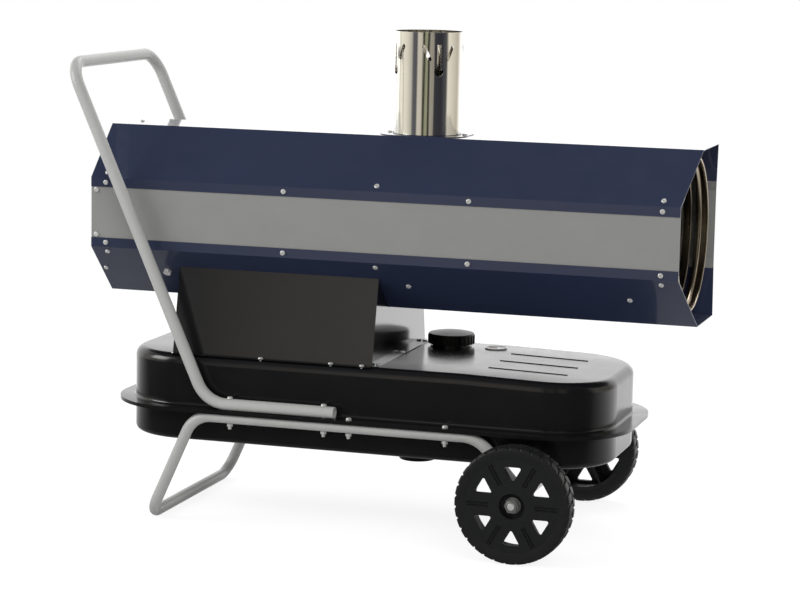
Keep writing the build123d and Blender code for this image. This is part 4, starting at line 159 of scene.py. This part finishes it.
# ---------------------------------------------------------------------- grey side panels
# Flat steel panels between the shells, in a satin mid-grey powder coat. Its melted grains
# scatter the light evenly, with hardly any mirror image.
GRAIN_DEPTH = 0.00002


def powder_coat(name, dark, light, roughness, grain_mm):
    """Powder paint: grains a millimetre or so across, seen as a soft bump and drawn coarser
    than the real ones so that they show, and a faint mottle over 60 mm."""
    finish, tree, place = new_finish(name)
    mottle = add_node(tree, "ShaderNodeTexNoise", {
        "Vector": place, "Scale": pattern(60), "Detail": 6.0, "Roughness": 0.6})
    colour = add_node(tree, "ShaderNodeMix", {
        0: mottle, 6: linear(dark), 7: linear(light)}, output=2, data_type="RGBA")
    grain = add_node(tree, "ShaderNodeTexNoise", {
        "Vector": place, "Scale": pattern(grain_mm), "Detail": 2.0})
    satin = add_node(tree, "ShaderNodeMapRange", {
        "Value": grain, "From Min": NOISE_LOW, "From Max": NOISE_HIGH,
        "To Min": roughness - 0.05, "To Max": roughness + 0.05})
    skin = add_node(tree, "ShaderNodeBump", {"Height": grain, "Distance": GRAIN_DEPTH})
    shader = add_node(tree, "ShaderNodeBsdfPrincipled", {
        "Base Color": colour, "Roughness": satin, "Normal": skin, "IOR": 1.45})
    add_node(tree, "ShaderNodeOutputMaterial", {"Surface": shader})
    return finish


panel_powder = powder_coat("grey_panel_powder_coat", "7f7f7d", "878785", 0.42, 1.2)
dress(panel_powder, "side_panel_near", "side_panel_far", "outlet_cheeks")

# ---------------------------------------------------------------------- screws, bolts, axle
# Pressed and turned steel with zinc plating: a pale, satin metal with soft clouds where the
# plating took differently.
# The axle's nuts and washers get a darker copy of the plating: painted shade, for the shade on
# their faces against the bright axle end.
TOOTH_DEPTH = 0.00001


def plated(name, dark, light, roughness, bare=1.0):
    """Plated or bare metal: clouds 5 mm across that differ in tone and in polish, and a tooth
    of 0.8 mm, drawn coarser than the real one. A chalky plating is less than bare metal."""
    finish, tree, place = new_finish(name)
    cloud = add_node(tree, "ShaderNodeTexNoise", {
        "Vector": place, "Scale": pattern(5), "Detail": 4.0, "Roughness": 0.6})
    colour = add_node(tree, "ShaderNodeMix", {
        0: cloud, 6: linear(dark), 7: linear(light)}, output=2, data_type="RGBA")
    polish = add_node(tree, "ShaderNodeMapRange", {
        "Value": cloud, "From Min": NOISE_LOW, "From Max": NOISE_HIGH,
        "To Min": roughness * 0.8, "To Max": roughness * 1.3})
    tooth = add_node(tree, "ShaderNodeTexNoise", {
        "Vector": place, "Scale": pattern(0.8), "Detail": 2.0})
    skin = add_node(tree, "ShaderNodeBump", {"Height": tooth, "Distance": TOOTH_DEPTH})
    shader = add_node(tree, "ShaderNodeBsdfPrincipled", {
        "Base Color": colour, "Metallic": bare, "Roughness": polish, "Normal": skin})
    add_node(tree, "ShaderNodeOutputMaterial", {"Surface": shader})
    return finish


zinc_plate = plated("bright_zinc_plate", "d4d4d2", "ececea", 0.42, 0.6)
dress(
    zinc_plate, "sheet_screws", "motor_bolts", "frame_bolts", "frame_nuts", "axle",
    "component_tray",
)
# Darker zinc for the axle's nuts and washers: painted shade, so that they stand apart from the
# bright axle end.
nut_zinc_painted_shade = plated("zinc_plate_painted_shade", "8e8f8d", "b6b6b4", 0.30, 0.8)
dress(nut_zinc_painted_shade, "axle_washers", "axle_nuts")

# ---------------------------------------------------------------------- flue pipe
# A rolled tube of polished stainless steel, 120 mm across. It mirrors the room in upright
# bands, drawn out by the polishing lines that run round it, with a faint straw tint. The
# lines are drawn 1.3 mm apart, coarser than the real ones, so that they show.
LINES_STRETCH = 14        # the lines are so many times finer along the pipe than round it
LINES_DEPTH = 0.000012
FLUE_ROUGHNESS = (0.04, 0.12)
flue_steel, tree, place = new_finish("polished_stainless")
round_lines = add_node(tree, "ShaderNodeMapping", {
    "Vector": place, "Scale": (1, 1, LINES_STRETCH)})
lines = add_node(tree, "ShaderNodeTexNoise", {
    "Vector": round_lines, "Scale": pattern(18), "Detail": 4.0, "Roughness": 0.6})
tint = add_node(tree, "ShaderNodeTexNoise", {
    "Vector": place, "Scale": pattern(70), "Detail": 3.0})
straw = add_node(tree, "ShaderNodeMix", {
    0: tint, 6: linear("eeece6"), 7: linear("dedad0")}, output=2, data_type="RGBA")
polish = add_node(tree, "ShaderNodeMapRange", {
    "Value": lines, "From Min": NOISE_LOW, "From Max": NOISE_HIGH,
    "To Min": FLUE_ROUGHNESS[0], "To Max": FLUE_ROUGHNESS[1]})
skin = add_node(tree, "ShaderNodeBump", {"Height": lines, "Distance": LINES_DEPTH})
shader = add_node(tree, "ShaderNodeBsdfPrincipled", {
    "Base Color": straw, "Metallic": 1.0, "Roughness": polish, "Normal": skin})
add_node(tree, "ShaderNodeOutputMaterial", {"Surface": shader})
dress(flue_steel, "flue_pipe")

# ---------------------------------------------------------------------- outlet ring, shield
# Rolled stainless steel round the hot drum, stained straw and brown by the heat. The rolled
# lips and the rib catch the light as thin bright lines.
DENT_DEPTH = 0.00012
RING_ROUGHNESS = (0.16, 0.28)
tinted_steel, tree, place = new_finish("heat_tinted_stainless")
stain = add_node(tree, "ShaderNodeTexNoise", {
    "Vector": place, "Scale": pattern(55), "Detail": 5.0, "Roughness": 0.6})
brown = add_node(tree, "ShaderNodeMix", {
    0: stain, 6: linear("8a7a68"), 7: linear("d2c8b6")}, output=2, data_type="RGBA")
polish = add_node(tree, "ShaderNodeMapRange", {
    "Value": stain, "From Min": NOISE_LOW, "From Max": NOISE_HIGH,
    "To Min": RING_ROUGHNESS[0], "To Max": RING_ROUGHNESS[1]})
dents = add_node(tree, "ShaderNodeTexNoise", {
    "Vector": place, "Scale": pattern(30), "Detail": 3.0})
skin = add_node(tree, "ShaderNodeBump", {"Height": dents, "Distance": DENT_DEPTH})
shader = add_node(tree, "ShaderNodeBsdfPrincipled", {
    "Base Color": brown, "Metallic": 1.0, "Roughness": polish, "Normal": skin})
add_node(tree, "ShaderNodeOutputMaterial", {"Surface": shader})
dress(tinted_steel, "outlet_ring", "heat_shield")

# ---------------------------------------------------------------------- drum and burner
# Mild steel sheet, welded, that has been hot: bare, grey and dull under a thin oxide scale.
# The saddles carry the drum in the casing, and the bracket carries the motor.
hot_steel = plated("scaled_hot_steel", "6e6a64", "8f8a82", 0.48)
dress(
    hot_steel, "exchanger", "combustion_chamber", "saddles", "burner_tube", "motor_bracket",
)

# ---------------------------------------------------------------------- burner box
# Folded sheet steel in a gloss black enamel with a clear top layer. Its front plate mirrors
# the tank's bright top, and its side stays an even, soft black.
BOX_WAVE_DEPTH = 0.0003
BOX_ROUGHNESS = (0.12, 0.18)
black_enamel, tree, place = new_finish("stoved_black_enamel")
drift = add_node(tree, "ShaderNodeTexNoise", {
    "Vector": place, "Scale": pattern(120), "Detail": 3.0})
colour = add_node(tree, "ShaderNodeMix", {
    0: drift, 6: linear("0f0f11"), 7: linear("141416")}, output=2, data_type="RGBA")
cloud = add_node(tree, "ShaderNodeTexNoise", {
    "Vector": place, "Scale": pattern(35), "Detail": 5.0, "Roughness": 0.65})
satin = add_node(tree, "ShaderNodeMapRange", {
    "Value": cloud, "From Min": NOISE_LOW, "From Max": NOISE_HIGH,
    "To Min": BOX_ROUGHNESS[0], "To Max": BOX_ROUGHNESS[1]})
waves = add_node(tree, "ShaderNodeTexNoise", {
    "Vector": place, "Scale": pattern(130), "Detail": 1.0})
skin = add_node(tree, "ShaderNodeBump", {"Height": waves, "Distance": BOX_WAVE_DEPTH})
shader = add_node(tree, "ShaderNodeBsdfPrincipled", {
    "Base Color": colour, "Roughness": satin, "Normal": skin, "IOR": 1.4,
    "Coat Weight": 1.0, "Coat IOR": 1.4, "Coat Roughness": 0.12})
add_node(tree, "ShaderNodeOutputMaterial", {"Surface": shader})
dress(black_enamel, "box_side_near", "box_side_far", "box_front", "box_rear")

# ---------------------------------------------------------------------- fuel tank
# Two deep-drawn halves of sheet steel welded at the seam, in semi-gloss black enamel. The
# press leaves slow waves in the walls and a crowned top, which falls a little towards its
# long edges: it mirrors the pale room softly, and less and less towards them.
TANK_HALF = 0.174         # half the tank's width
CROWN_START = 0.08        # the top is flat this far out from its middle
CROWN_FALL = 0.0042       # and this much lower at its edges
CROWN_POWER = 2.0
TANK_WAVE_DEPTH = 0.0005
TANK_ROUGHNESS = (0.16, 0.22)
tank_enamel, tree, place = new_finish("semi_gloss_black_enamel")
drift = add_node(tree, "ShaderNodeTexNoise", {
    "Vector": place, "Scale": pattern(150), "Detail": 3.0})
colour = add_node(tree, "ShaderNodeMix", {
    0: drift, 6: linear("0f0f10"), 7: linear("131314")}, output=2, data_type="RGBA")
cloud = add_node(tree, "ShaderNodeTexNoise", {
    "Vector": place, "Scale": pattern(40), "Detail": 4.0, "Roughness": 0.6})
satin = add_node(tree, "ShaderNodeMapRange", {
    "Value": cloud, "From Min": NOISE_LOW, "From Max": NOISE_HIGH,
    "To Min": TANK_ROUGHNESS[0], "To Max": TANK_ROUGHNESS[1]})
across = add_node(tree, "ShaderNodeSeparateXYZ", {"Vector": place}, output="Y")
apart = add_node(tree, "ShaderNodeMath", {0: across}, operation="ABSOLUTE")
outward = add_node(tree, "ShaderNodeMapRange", {
    "Value": apart, "From Min": CROWN_START, "From Max": TANK_HALF,
    "To Min": 0.0, "To Max": 1.0})
fall = add_node(tree, "ShaderNodeMath", {0: outward, 1: CROWN_POWER}, operation="POWER")
crown = add_node(
    tree, "ShaderNodeBump", {"Height": fall, "Distance": CROWN_FALL}, invert=True)
waves = add_node(tree, "ShaderNodeTexNoise", {
    "Vector": place, "Scale": pattern(130), "Detail": 1.0})
skin = add_node(tree, "ShaderNodeBump", {
    "Height": waves, "Distance": TANK_WAVE_DEPTH, "Normal": crown})
shader = add_node(tree, "ShaderNodeBsdfPrincipled", {
    "Base Color": colour, "Roughness": satin, "Normal": skin, "IOR": 1.5})
add_node(tree, "ShaderNodeOutputMaterial", {"Surface": shader})
dress(tank_enamel, "tank_upper", "tank_lower", "filler_neck")

# ---------------------------------------------------------------------- frame and handle
# Bent steel tube, 20 mm across in the frame and 21 mm in the handle, bolted together through
# the tank's flange. A light grey powder coat gives both a soft, even sheen.
tube_powder = powder_coat("grey_tube_powder_coat", "a2a2a0", "acacaa", 0.34, 1.4)
dress(tube_powder, "frame_tube", "handle_tube")

# ---------------------------------------------------------------------- wheels
# Hubs moulded in black polypropylene, with a fine spark-eroded texture gone a little grey.
# Solid rubber tyres are stretched over them, with two rows of 32 slanted blocks each.


def moulded(name, dark, light, roughness, grain_mm, depth_mm=0.04):
    """Moulded plastic or rubber: a fine tooth from the mould, drawn coarser than the real one
    so that it shows, and faint scuffs over 25 mm."""
    finish, tree, place = new_finish(name)
    scuff = add_node(tree, "ShaderNodeTexNoise", {
        "Vector": place, "Scale": pattern(25), "Detail": 6.0, "Roughness": 0.7})
    colour = add_node(tree, "ShaderNodeMix", {
        0: scuff, 6: linear(dark), 7: linear(light)}, output=2, data_type="RGBA")
    tooth = add_node(tree, "ShaderNodeTexNoise", {
        "Vector": place, "Scale": pattern(grain_mm), "Detail": 3.0})
    matt = add_node(tree, "ShaderNodeMapRange", {
        "Value": tooth, "From Min": NOISE_LOW, "From Max": NOISE_HIGH,
        "To Min": roughness - 0.07, "To Max": roughness + 0.07})
    skin = add_node(tree, "ShaderNodeBump", {"Height": tooth, "Distance": depth_mm / 1000})
    shader = add_node(tree, "ShaderNodeBsdfPrincipled", {
        "Base Color": colour, "Roughness": matt, "Normal": skin, "IOR": 1.35})
    add_node(tree, "ShaderNodeOutputMaterial", {"Surface": shader})
    return finish


hub_plastic = moulded("black_polypropylene", "171818", "1e1f20", 0.50, 0.9)
dress(hub_plastic, "wheel_hub_near", "wheel_hub_far")
tyre_rubber = moulded("black_tyre_rubber", "181919", "202121", 0.42, 1.1)

TYRE_BLOCKS = 32
BLOCK_STEPS = 16
BLOCK_SLANT = 0.35     # of a block's pitch, from the middle of the tread to its edge
BLOCK_STAGGER = 0.25   # of a block's pitch, to either side: the two rows are half a block apart
NOTCH_SHARE = 0.11     # half a notch, of the pitch
NOTCH_EDGE = 0.03      # its sloping edge, of the pitch
NOTCH_DEPTH = 0.0022
# Half the tyre's section, from the hub round the wall to the groove in the middle of the
# tread: share of the half width, millimetres inside the outer radius, how far notches reach.
TYRE_SECTION = np.array([
    (0.94, 20.0, 0.0), (0.955, 18.5, 0.0), (0.985, 13.0, 0.0), (1.00, 9.0, 0.0),
    (1.00, 6.0, 0.0), (0.995, 4.6, 0.3), (0.975, 3.2, 0.8), (0.93, 2.0, 1.0),
    (0.86, 1.1, 1.0), (0.70, 0.5, 1.0), (0.40, 0.1, 1.0), (0.12, 0.0, 1.0),
    (0.09, 0.2, 0.9), (0.07, 2.4, 0.0),
])


def surface(name, points, finish, body, closed_u=False, closed_v=False):
    """A mesh over a grid of points, u by v by 3. Each face joins (u, v), (u+1, v), (u+1, v+1)
    and (u, v+1), and a closed direction joins its last row back to its first."""
    count_u, count_v = points.shape[:2]
    u = np.arange(count_u if closed_u else count_u - 1)
    v = np.arange(count_v if closed_v else count_v - 1)
    u, v = np.meshgrid(u, v, indexing="ij")
    next_u, next_v = (u + 1) % count_u, (v + 1) % count_v
    row, next_row = u * count_v, next_u * count_v
    corners = [row + v, next_row + v, next_row + next_v, row + next_v]
    faces = np.stack(corners, -1).reshape(-1, 4)
    mesh = bpy.data.meshes.new(name)
    mesh.from_pydata(points.reshape(-1, 3).tolist(), [], faces.tolist())
    mesh.materials.append(finish)
    made = bpy.data.objects.new(name, mesh)
    bpy.context.scene.collection.objects.link(made)
    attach(made, body)
    return made


def tyre(name, node, body):
    """A ring: its radius is the section's, less the notch depth where a block's phase is near
    a half. The phase is the angle in blocks, plus a quarter of a block on one side and less a
    quarter on the other, and a slant that grows with the distance from the middle."""
    low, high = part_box(node)
    middle = (low + high) / 2
    outer, half = (high.z - low.z) / 2, (high.y - low.y) / 2
    share, inside, reach = np.concatenate([TYRE_SECTION, TYRE_SECTION[::-1]]).T
    side = np.repeat([-1.0, 1.0], len(TYRE_SECTION))
    steps = TYRE_BLOCKS * BLOCK_STEPS
    angle = np.arange(steps)[:, None] / steps * 2 * pi
    phase = angle * TYRE_BLOCKS / (2 * pi) + BLOCK_STAGGER * side + BLOCK_SLANT * share
    near_notch = np.abs(phase % 1.0 - 0.5)
    notch = np.clip((NOTCH_SHARE - near_notch) / NOTCH_EDGE + 0.5, 0.0, 1.0)
    radius = outer - inside / 1000 - NOTCH_DEPTH * reach * notch
    across = np.broadcast_to(middle.y + side * share * half, radius.shape)
    points = np.stack(
        [middle.x + radius * np.cos(angle), across, middle.z + radius * np.sin(angle)], -1
    )
    made = surface(name, points, tyre_rubber, body, closed_u=True, closed_v=True)
    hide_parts(node)


tyre("tyre_near", "wheel_tyre_near", "wheel_near")
tyre("tyre_far", "wheel_tyre_far", "wheel_far")

# ---------------------------------------------------------------------- filler cap, drain
# A cap for the filler and a drain plug under the tank, moulded in black polyethylene, which
# is darker and a little glossier than the wheels.
cap_plastic = moulded("black_polyethylene", "09090a", "0d0d0e", 0.36, 1.6, 0.02)
dress(cap_plastic, "fuel_cap", "drain_plug")

# ---------------------------------------------------------------------- level gauge
# A shallow dial in smooth grey-white acetal, flush on the tank, with a glossy red pointer
# that a float turns from below.
gauge_plastic = moulded("pale_grey_acetal", "c6c7c5", "d2d3d1", 0.30, 2.0, 0.01)
dress(gauge_plastic, "level_gauge", "float_arm")
red_plastic = moulded("red_abs", "8f1410", "a41a14", 0.3, 2.0, 0.01)
dress(red_plastic, "switch_rocker", "reset_button", "gauge_pointer")

# ---------------------------------------------------------------------- inlet, fan, motor
# A wire guard, a fan ring and a pressed fan in satin black powder coat. The motor and the
# fuel pump are castings in a duller grey paint, and the motor's shaft is ground bright.
black_powder = powder_coat("black_powder_coat", "161617", "1d1d1e", 0.40, 1.0)
dress(black_powder, "inlet_guard", "fan_ring", "fan_blade")
casting = powder_coat("grey_casting_paint", "4b4e50", "565a5c", 0.5, 1.6)
dress(casting, "fan_motor", "fuel_pump")
ground_steel = plated("ground_steel", "b8b8ba", "d6d6d8", 0.18)
dress(ground_steel, "motor_shaft")

# ---------------------------------------------------------------------- nozzle and fuel line
# A nozzle holder and a fuel filter of turned brass, with a warm yellow gleam, electrodes
# in glazed white porcelain, and a hose of the tyres' dull black rubber.
brass = plated("turned_brass", "a98746", "c7a561", 0.28)
dress(brass, "nozzle_holder", "fuel_filter")
porcelain = moulded("white_porcelain", "dcdad2", "e8e6de", 0.22, 4.0, 0.005)
dress(porcelain, "electrodes")
dress(tyre_rubber, "fuel_hose")

# ---------------------------------------------------------------------- controls
# Black and red mouldings on the rear of the box: switch, knob, button and cord gland, with
# a glossy orange lens for the lamp. The parts behind them stand on a zinc-plated tray.
lamp_plastic = moulded("orange_lens", "c2430f", "d4541a", 0.15, 3.0, 0.01)
dress(lamp_plastic, "indicator_lamp")
dress(
    cap_plastic, "switch_frame", "thermostat_knob", "thermostat", "reset_housing",
    "cable_gland", "ignition_transformer",
)
board_laminate = moulded("green_laminate", "14502a", "1a5d33", 0.35, 3.0, 0.01)
dress(board_laminate, "control_board")

# ---------------------------------------------------------------------- floor
# A plain white sheet under the heater. Three quarters of what the camera sees of it is its own
# white, and the rest is lit, so that it keeps a faint shadow. In mirrors it is bright behind
# the heater and dim in front.
FLOOR_SIZE = 6.0
FLOOR_TONE = 0.86
OWN_WHITE_SHARE = 0.75
OWN_WHITE_POWER = 1.15
DIM_FROM, BRIGHT_BY = -0.4, 0.9       # metres behind the middle of the heater
DIM_POWER, BRIGHT_POWER = 0.06, 1.4
bpy.ops.mesh.primitive_plane_add(size=FLOOR_SIZE, location=(0, 0, 0))
floor = bpy.context.object
floor.name = "floor"
paper = bpy.data.materials.new("white_paper")
paper.use_nodes = True
tree = paper.node_tree
tree.nodes.clear()
seen = add_node(tree, "ShaderNodeLightPath", output="Is Camera Ray")
mirrored = add_node(tree, "ShaderNodeLightPath", output="Is Glossy Ray")
place = add_node(tree, "ShaderNodeTexCoord", output="Object")
depth = add_node(tree, "ShaderNodeSeparateXYZ", {"Vector": place}, output="Y")
backlit = add_node(tree, "ShaderNodeMapRange", {
    "Value": depth, "From Min": DIM_FROM, "From Max": BRIGHT_BY,
    "To Min": DIM_POWER, "To Max": BRIGHT_POWER})
seen_share = add_node(
    tree, "ShaderNodeMath", {0: seen, 1: OWN_WHITE_SHARE}, operation="MULTIPLY")
share = add_node(tree, "ShaderNodeMath", {0: seen_share, 1: mirrored}, operation="MAXIMUM")
power = add_node(tree, "ShaderNodeMix", {
    0: mirrored, 2: OWN_WHITE_POWER, 3: backlit}, data_type="FLOAT")
matt = add_node(tree, "ShaderNodeBsdfDiffuse", {
    "Color": (FLOOR_TONE, FLOOR_TONE, FLOOR_TONE, 1)})
glow = add_node(tree, "ShaderNodeEmission", {"Color": (1, 1, 1, 1), "Strength": power})
mixed = add_node(tree, "ShaderNodeMixShader", {0: share, 1: matt, 2: glow})
add_node(tree, "ShaderNodeOutputMaterial", {"Surface": mixed})
floor.data.materials.append(paper)

# ---------------------------------------------------------------------- room
# An even light for every surface, and white wherever the camera sees past the heater. Mirrors
# show a studio whose white backdrop is lit from below, behind the heater, and whose front
# holds upright screens and dark stands, which the polished flue draws out into its bands.
ROOM_POWER = 1.5
OPEN_LIGHT = 0.55
CEILING_TONE = "4a4b4e"
CEILING_FROM, CEILING_BY = 0.36, 0.85     # heights of a direction, where straight up is 1
# Degrees round from straight in front towards the outlet's end, and the tone there.
ROOM_BANDS = [
    (-180, "ffffff"), (-120, "ffffff"), (-99, "fafaf4"), (-96, "9a9a92"), (-92, "dad7cd"),
    (-60, "c4c0b6"), (-42, "9e9b94"), (-37, "54555a"), (-24, "47484d"), (-19, "b4afa6"),
    (-6, "aca79e"), (-2, "2e2f26"), (2, "2e2f26"), (5, "80816f"), (13, "83846f"),
    (15, "282826"), (19, "282826"), (23, "8f8b82"), (33, "7e7a73"), (37, "303036"),
    (61, "2a2a30"), (68, "34343a"), (80, "4a4a4c"), (87, "cdc9bf"), (132, "a8a297"),
    (154, "f6f6f6"), (180, "ffffff"),
]
room = bpy.data.worlds.new("room")
bpy.context.scene.world = room
room.use_nodes = True
tree = room.node_tree
tree.nodes.clear()
seen = add_node(tree, "ShaderNodeLightPath", output="Is Camera Ray")
mirrored = add_node(tree, "ShaderNodeLightPath", output="Is Glossy Ray")
through = add_node(tree, "ShaderNodeLightPath", output="Is Transmission Ray")
direction = add_node(tree, "ShaderNodeTexCoord", output="Generated")
side = add_node(tree, "ShaderNodeSeparateXYZ", {"Vector": direction}, output="X")
back = add_node(tree, "ShaderNodeSeparateXYZ", {"Vector": direction}, output="Y")
height = add_node(tree, "ShaderNodeSeparateXYZ", {"Vector": direction}, output="Z")
front = add_node(tree, "ShaderNodeMath", {0: back, 1: -1.0}, operation="MULTIPLY")
round_by = add_node(tree, "ShaderNodeMath", {0: side, 1: front}, operation="ARCTAN2")
turned = add_node(tree, "ShaderNodeMapRange", {
    "Value": round_by, "From Min": -pi, "From Max": pi, "To Min": 0.0, "To Max": 1.0})
screens = add_node(tree, "ShaderNodeValToRGB", {"Fac": turned}, output="Color")
stops = screens.node.color_ramp.elements
stops[0].position, stops[0].color = 0.0, linear(ROOM_BANDS[0][1])
stops[1].position, stops[1].color = 1.0, linear(ROOM_BANDS[-1][1])
for degrees_round, tone in ROOM_BANDS[1:-1]:
    stops.new((degrees_round + 180) / 360).color = linear(tone)
overhead = add_node(tree, "ShaderNodeMapRange", {
    "Value": height, "From Min": CEILING_FROM, "From Max": CEILING_BY,
    "To Min": 0.0, "To Max": 1.0},
    interpolation_type="SMOOTHSTEP")
studio = add_node(tree, "ShaderNodeMix", {
    0: overhead, 6: screens, 7: linear(CEILING_TONE)}, output=2, data_type="RGBA")
own_tone = add_node(tree, "ShaderNodeMix", {
    0: mirrored, 6: (1, 1, 1, 1), 7: studio}, output=2, data_type="RGBA")
own_power = add_node(tree, "ShaderNodeMix", {
    0: mirrored, 2: OPEN_LIGHT, 3: ROOM_POWER}, data_type="FLOAT")
white = add_node(tree, "ShaderNodeMath", {0: seen, 1: through}, operation="MAXIMUM")
tone = add_node(tree, "ShaderNodeMix", {
    0: white, 6: own_tone, 7: (1, 1, 1, 1)}, output=2, data_type="RGBA")
power = add_node(tree, "ShaderNodeMix", {0: white, 2: own_power, 3: 1.0}, data_type="FLOAT")
light = add_node(tree, "ShaderNodeBackground", {"Color": tone, "Strength": power})
add_node(tree, "ShaderNodeOutputWorld", {"Surface": light})


# ---------------------------------------------------------------------- lamps
# Three large soft boxes: one high on the near side, one over the back, one by the inlet. The
# near one isn't seen in mirrors, where it would leave bright patches on the tank's edge.
HEATER_MIDDLE = (0.0, 0.0, 0.5)


def soft_box(name, place, target, width, height, power):
    """A rectangular area lamp at place, aimed at target. Sizes are in metres and power is in
    watts."""
    lamp = bpy.data.lights.new(name, "AREA")
    lamp.shape = "RECTANGLE"
    lamp.size, lamp.size_y, lamp.energy = width, height, power
    made = bpy.data.objects.new(name, lamp)
    aim = Vector(target) - Vector(place)
    aimed = aim.to_track_quat("-Z", "Y").to_matrix().to_4x4()
    made.matrix_world = Matrix.Translation(place) @ aimed
    bpy.context.scene.collection.objects.link(made)
    return made


near_box = soft_box(
    "near_box", (2.2, -3.0, 2.8), HEATER_MIDDLE, width=2.4, height=1.8, power=62.0)
near_box.visible_glossy = False
soft_box("back_box", (0.3, 1.7, 2.8), HEATER_MIDDLE, width=2.4, height=1.4, power=40.0)
soft_box("inlet_box", (-2.8, -1.6, 1.8), HEATER_MIDDLE, width=1.6, height=1.6, power=52.0)
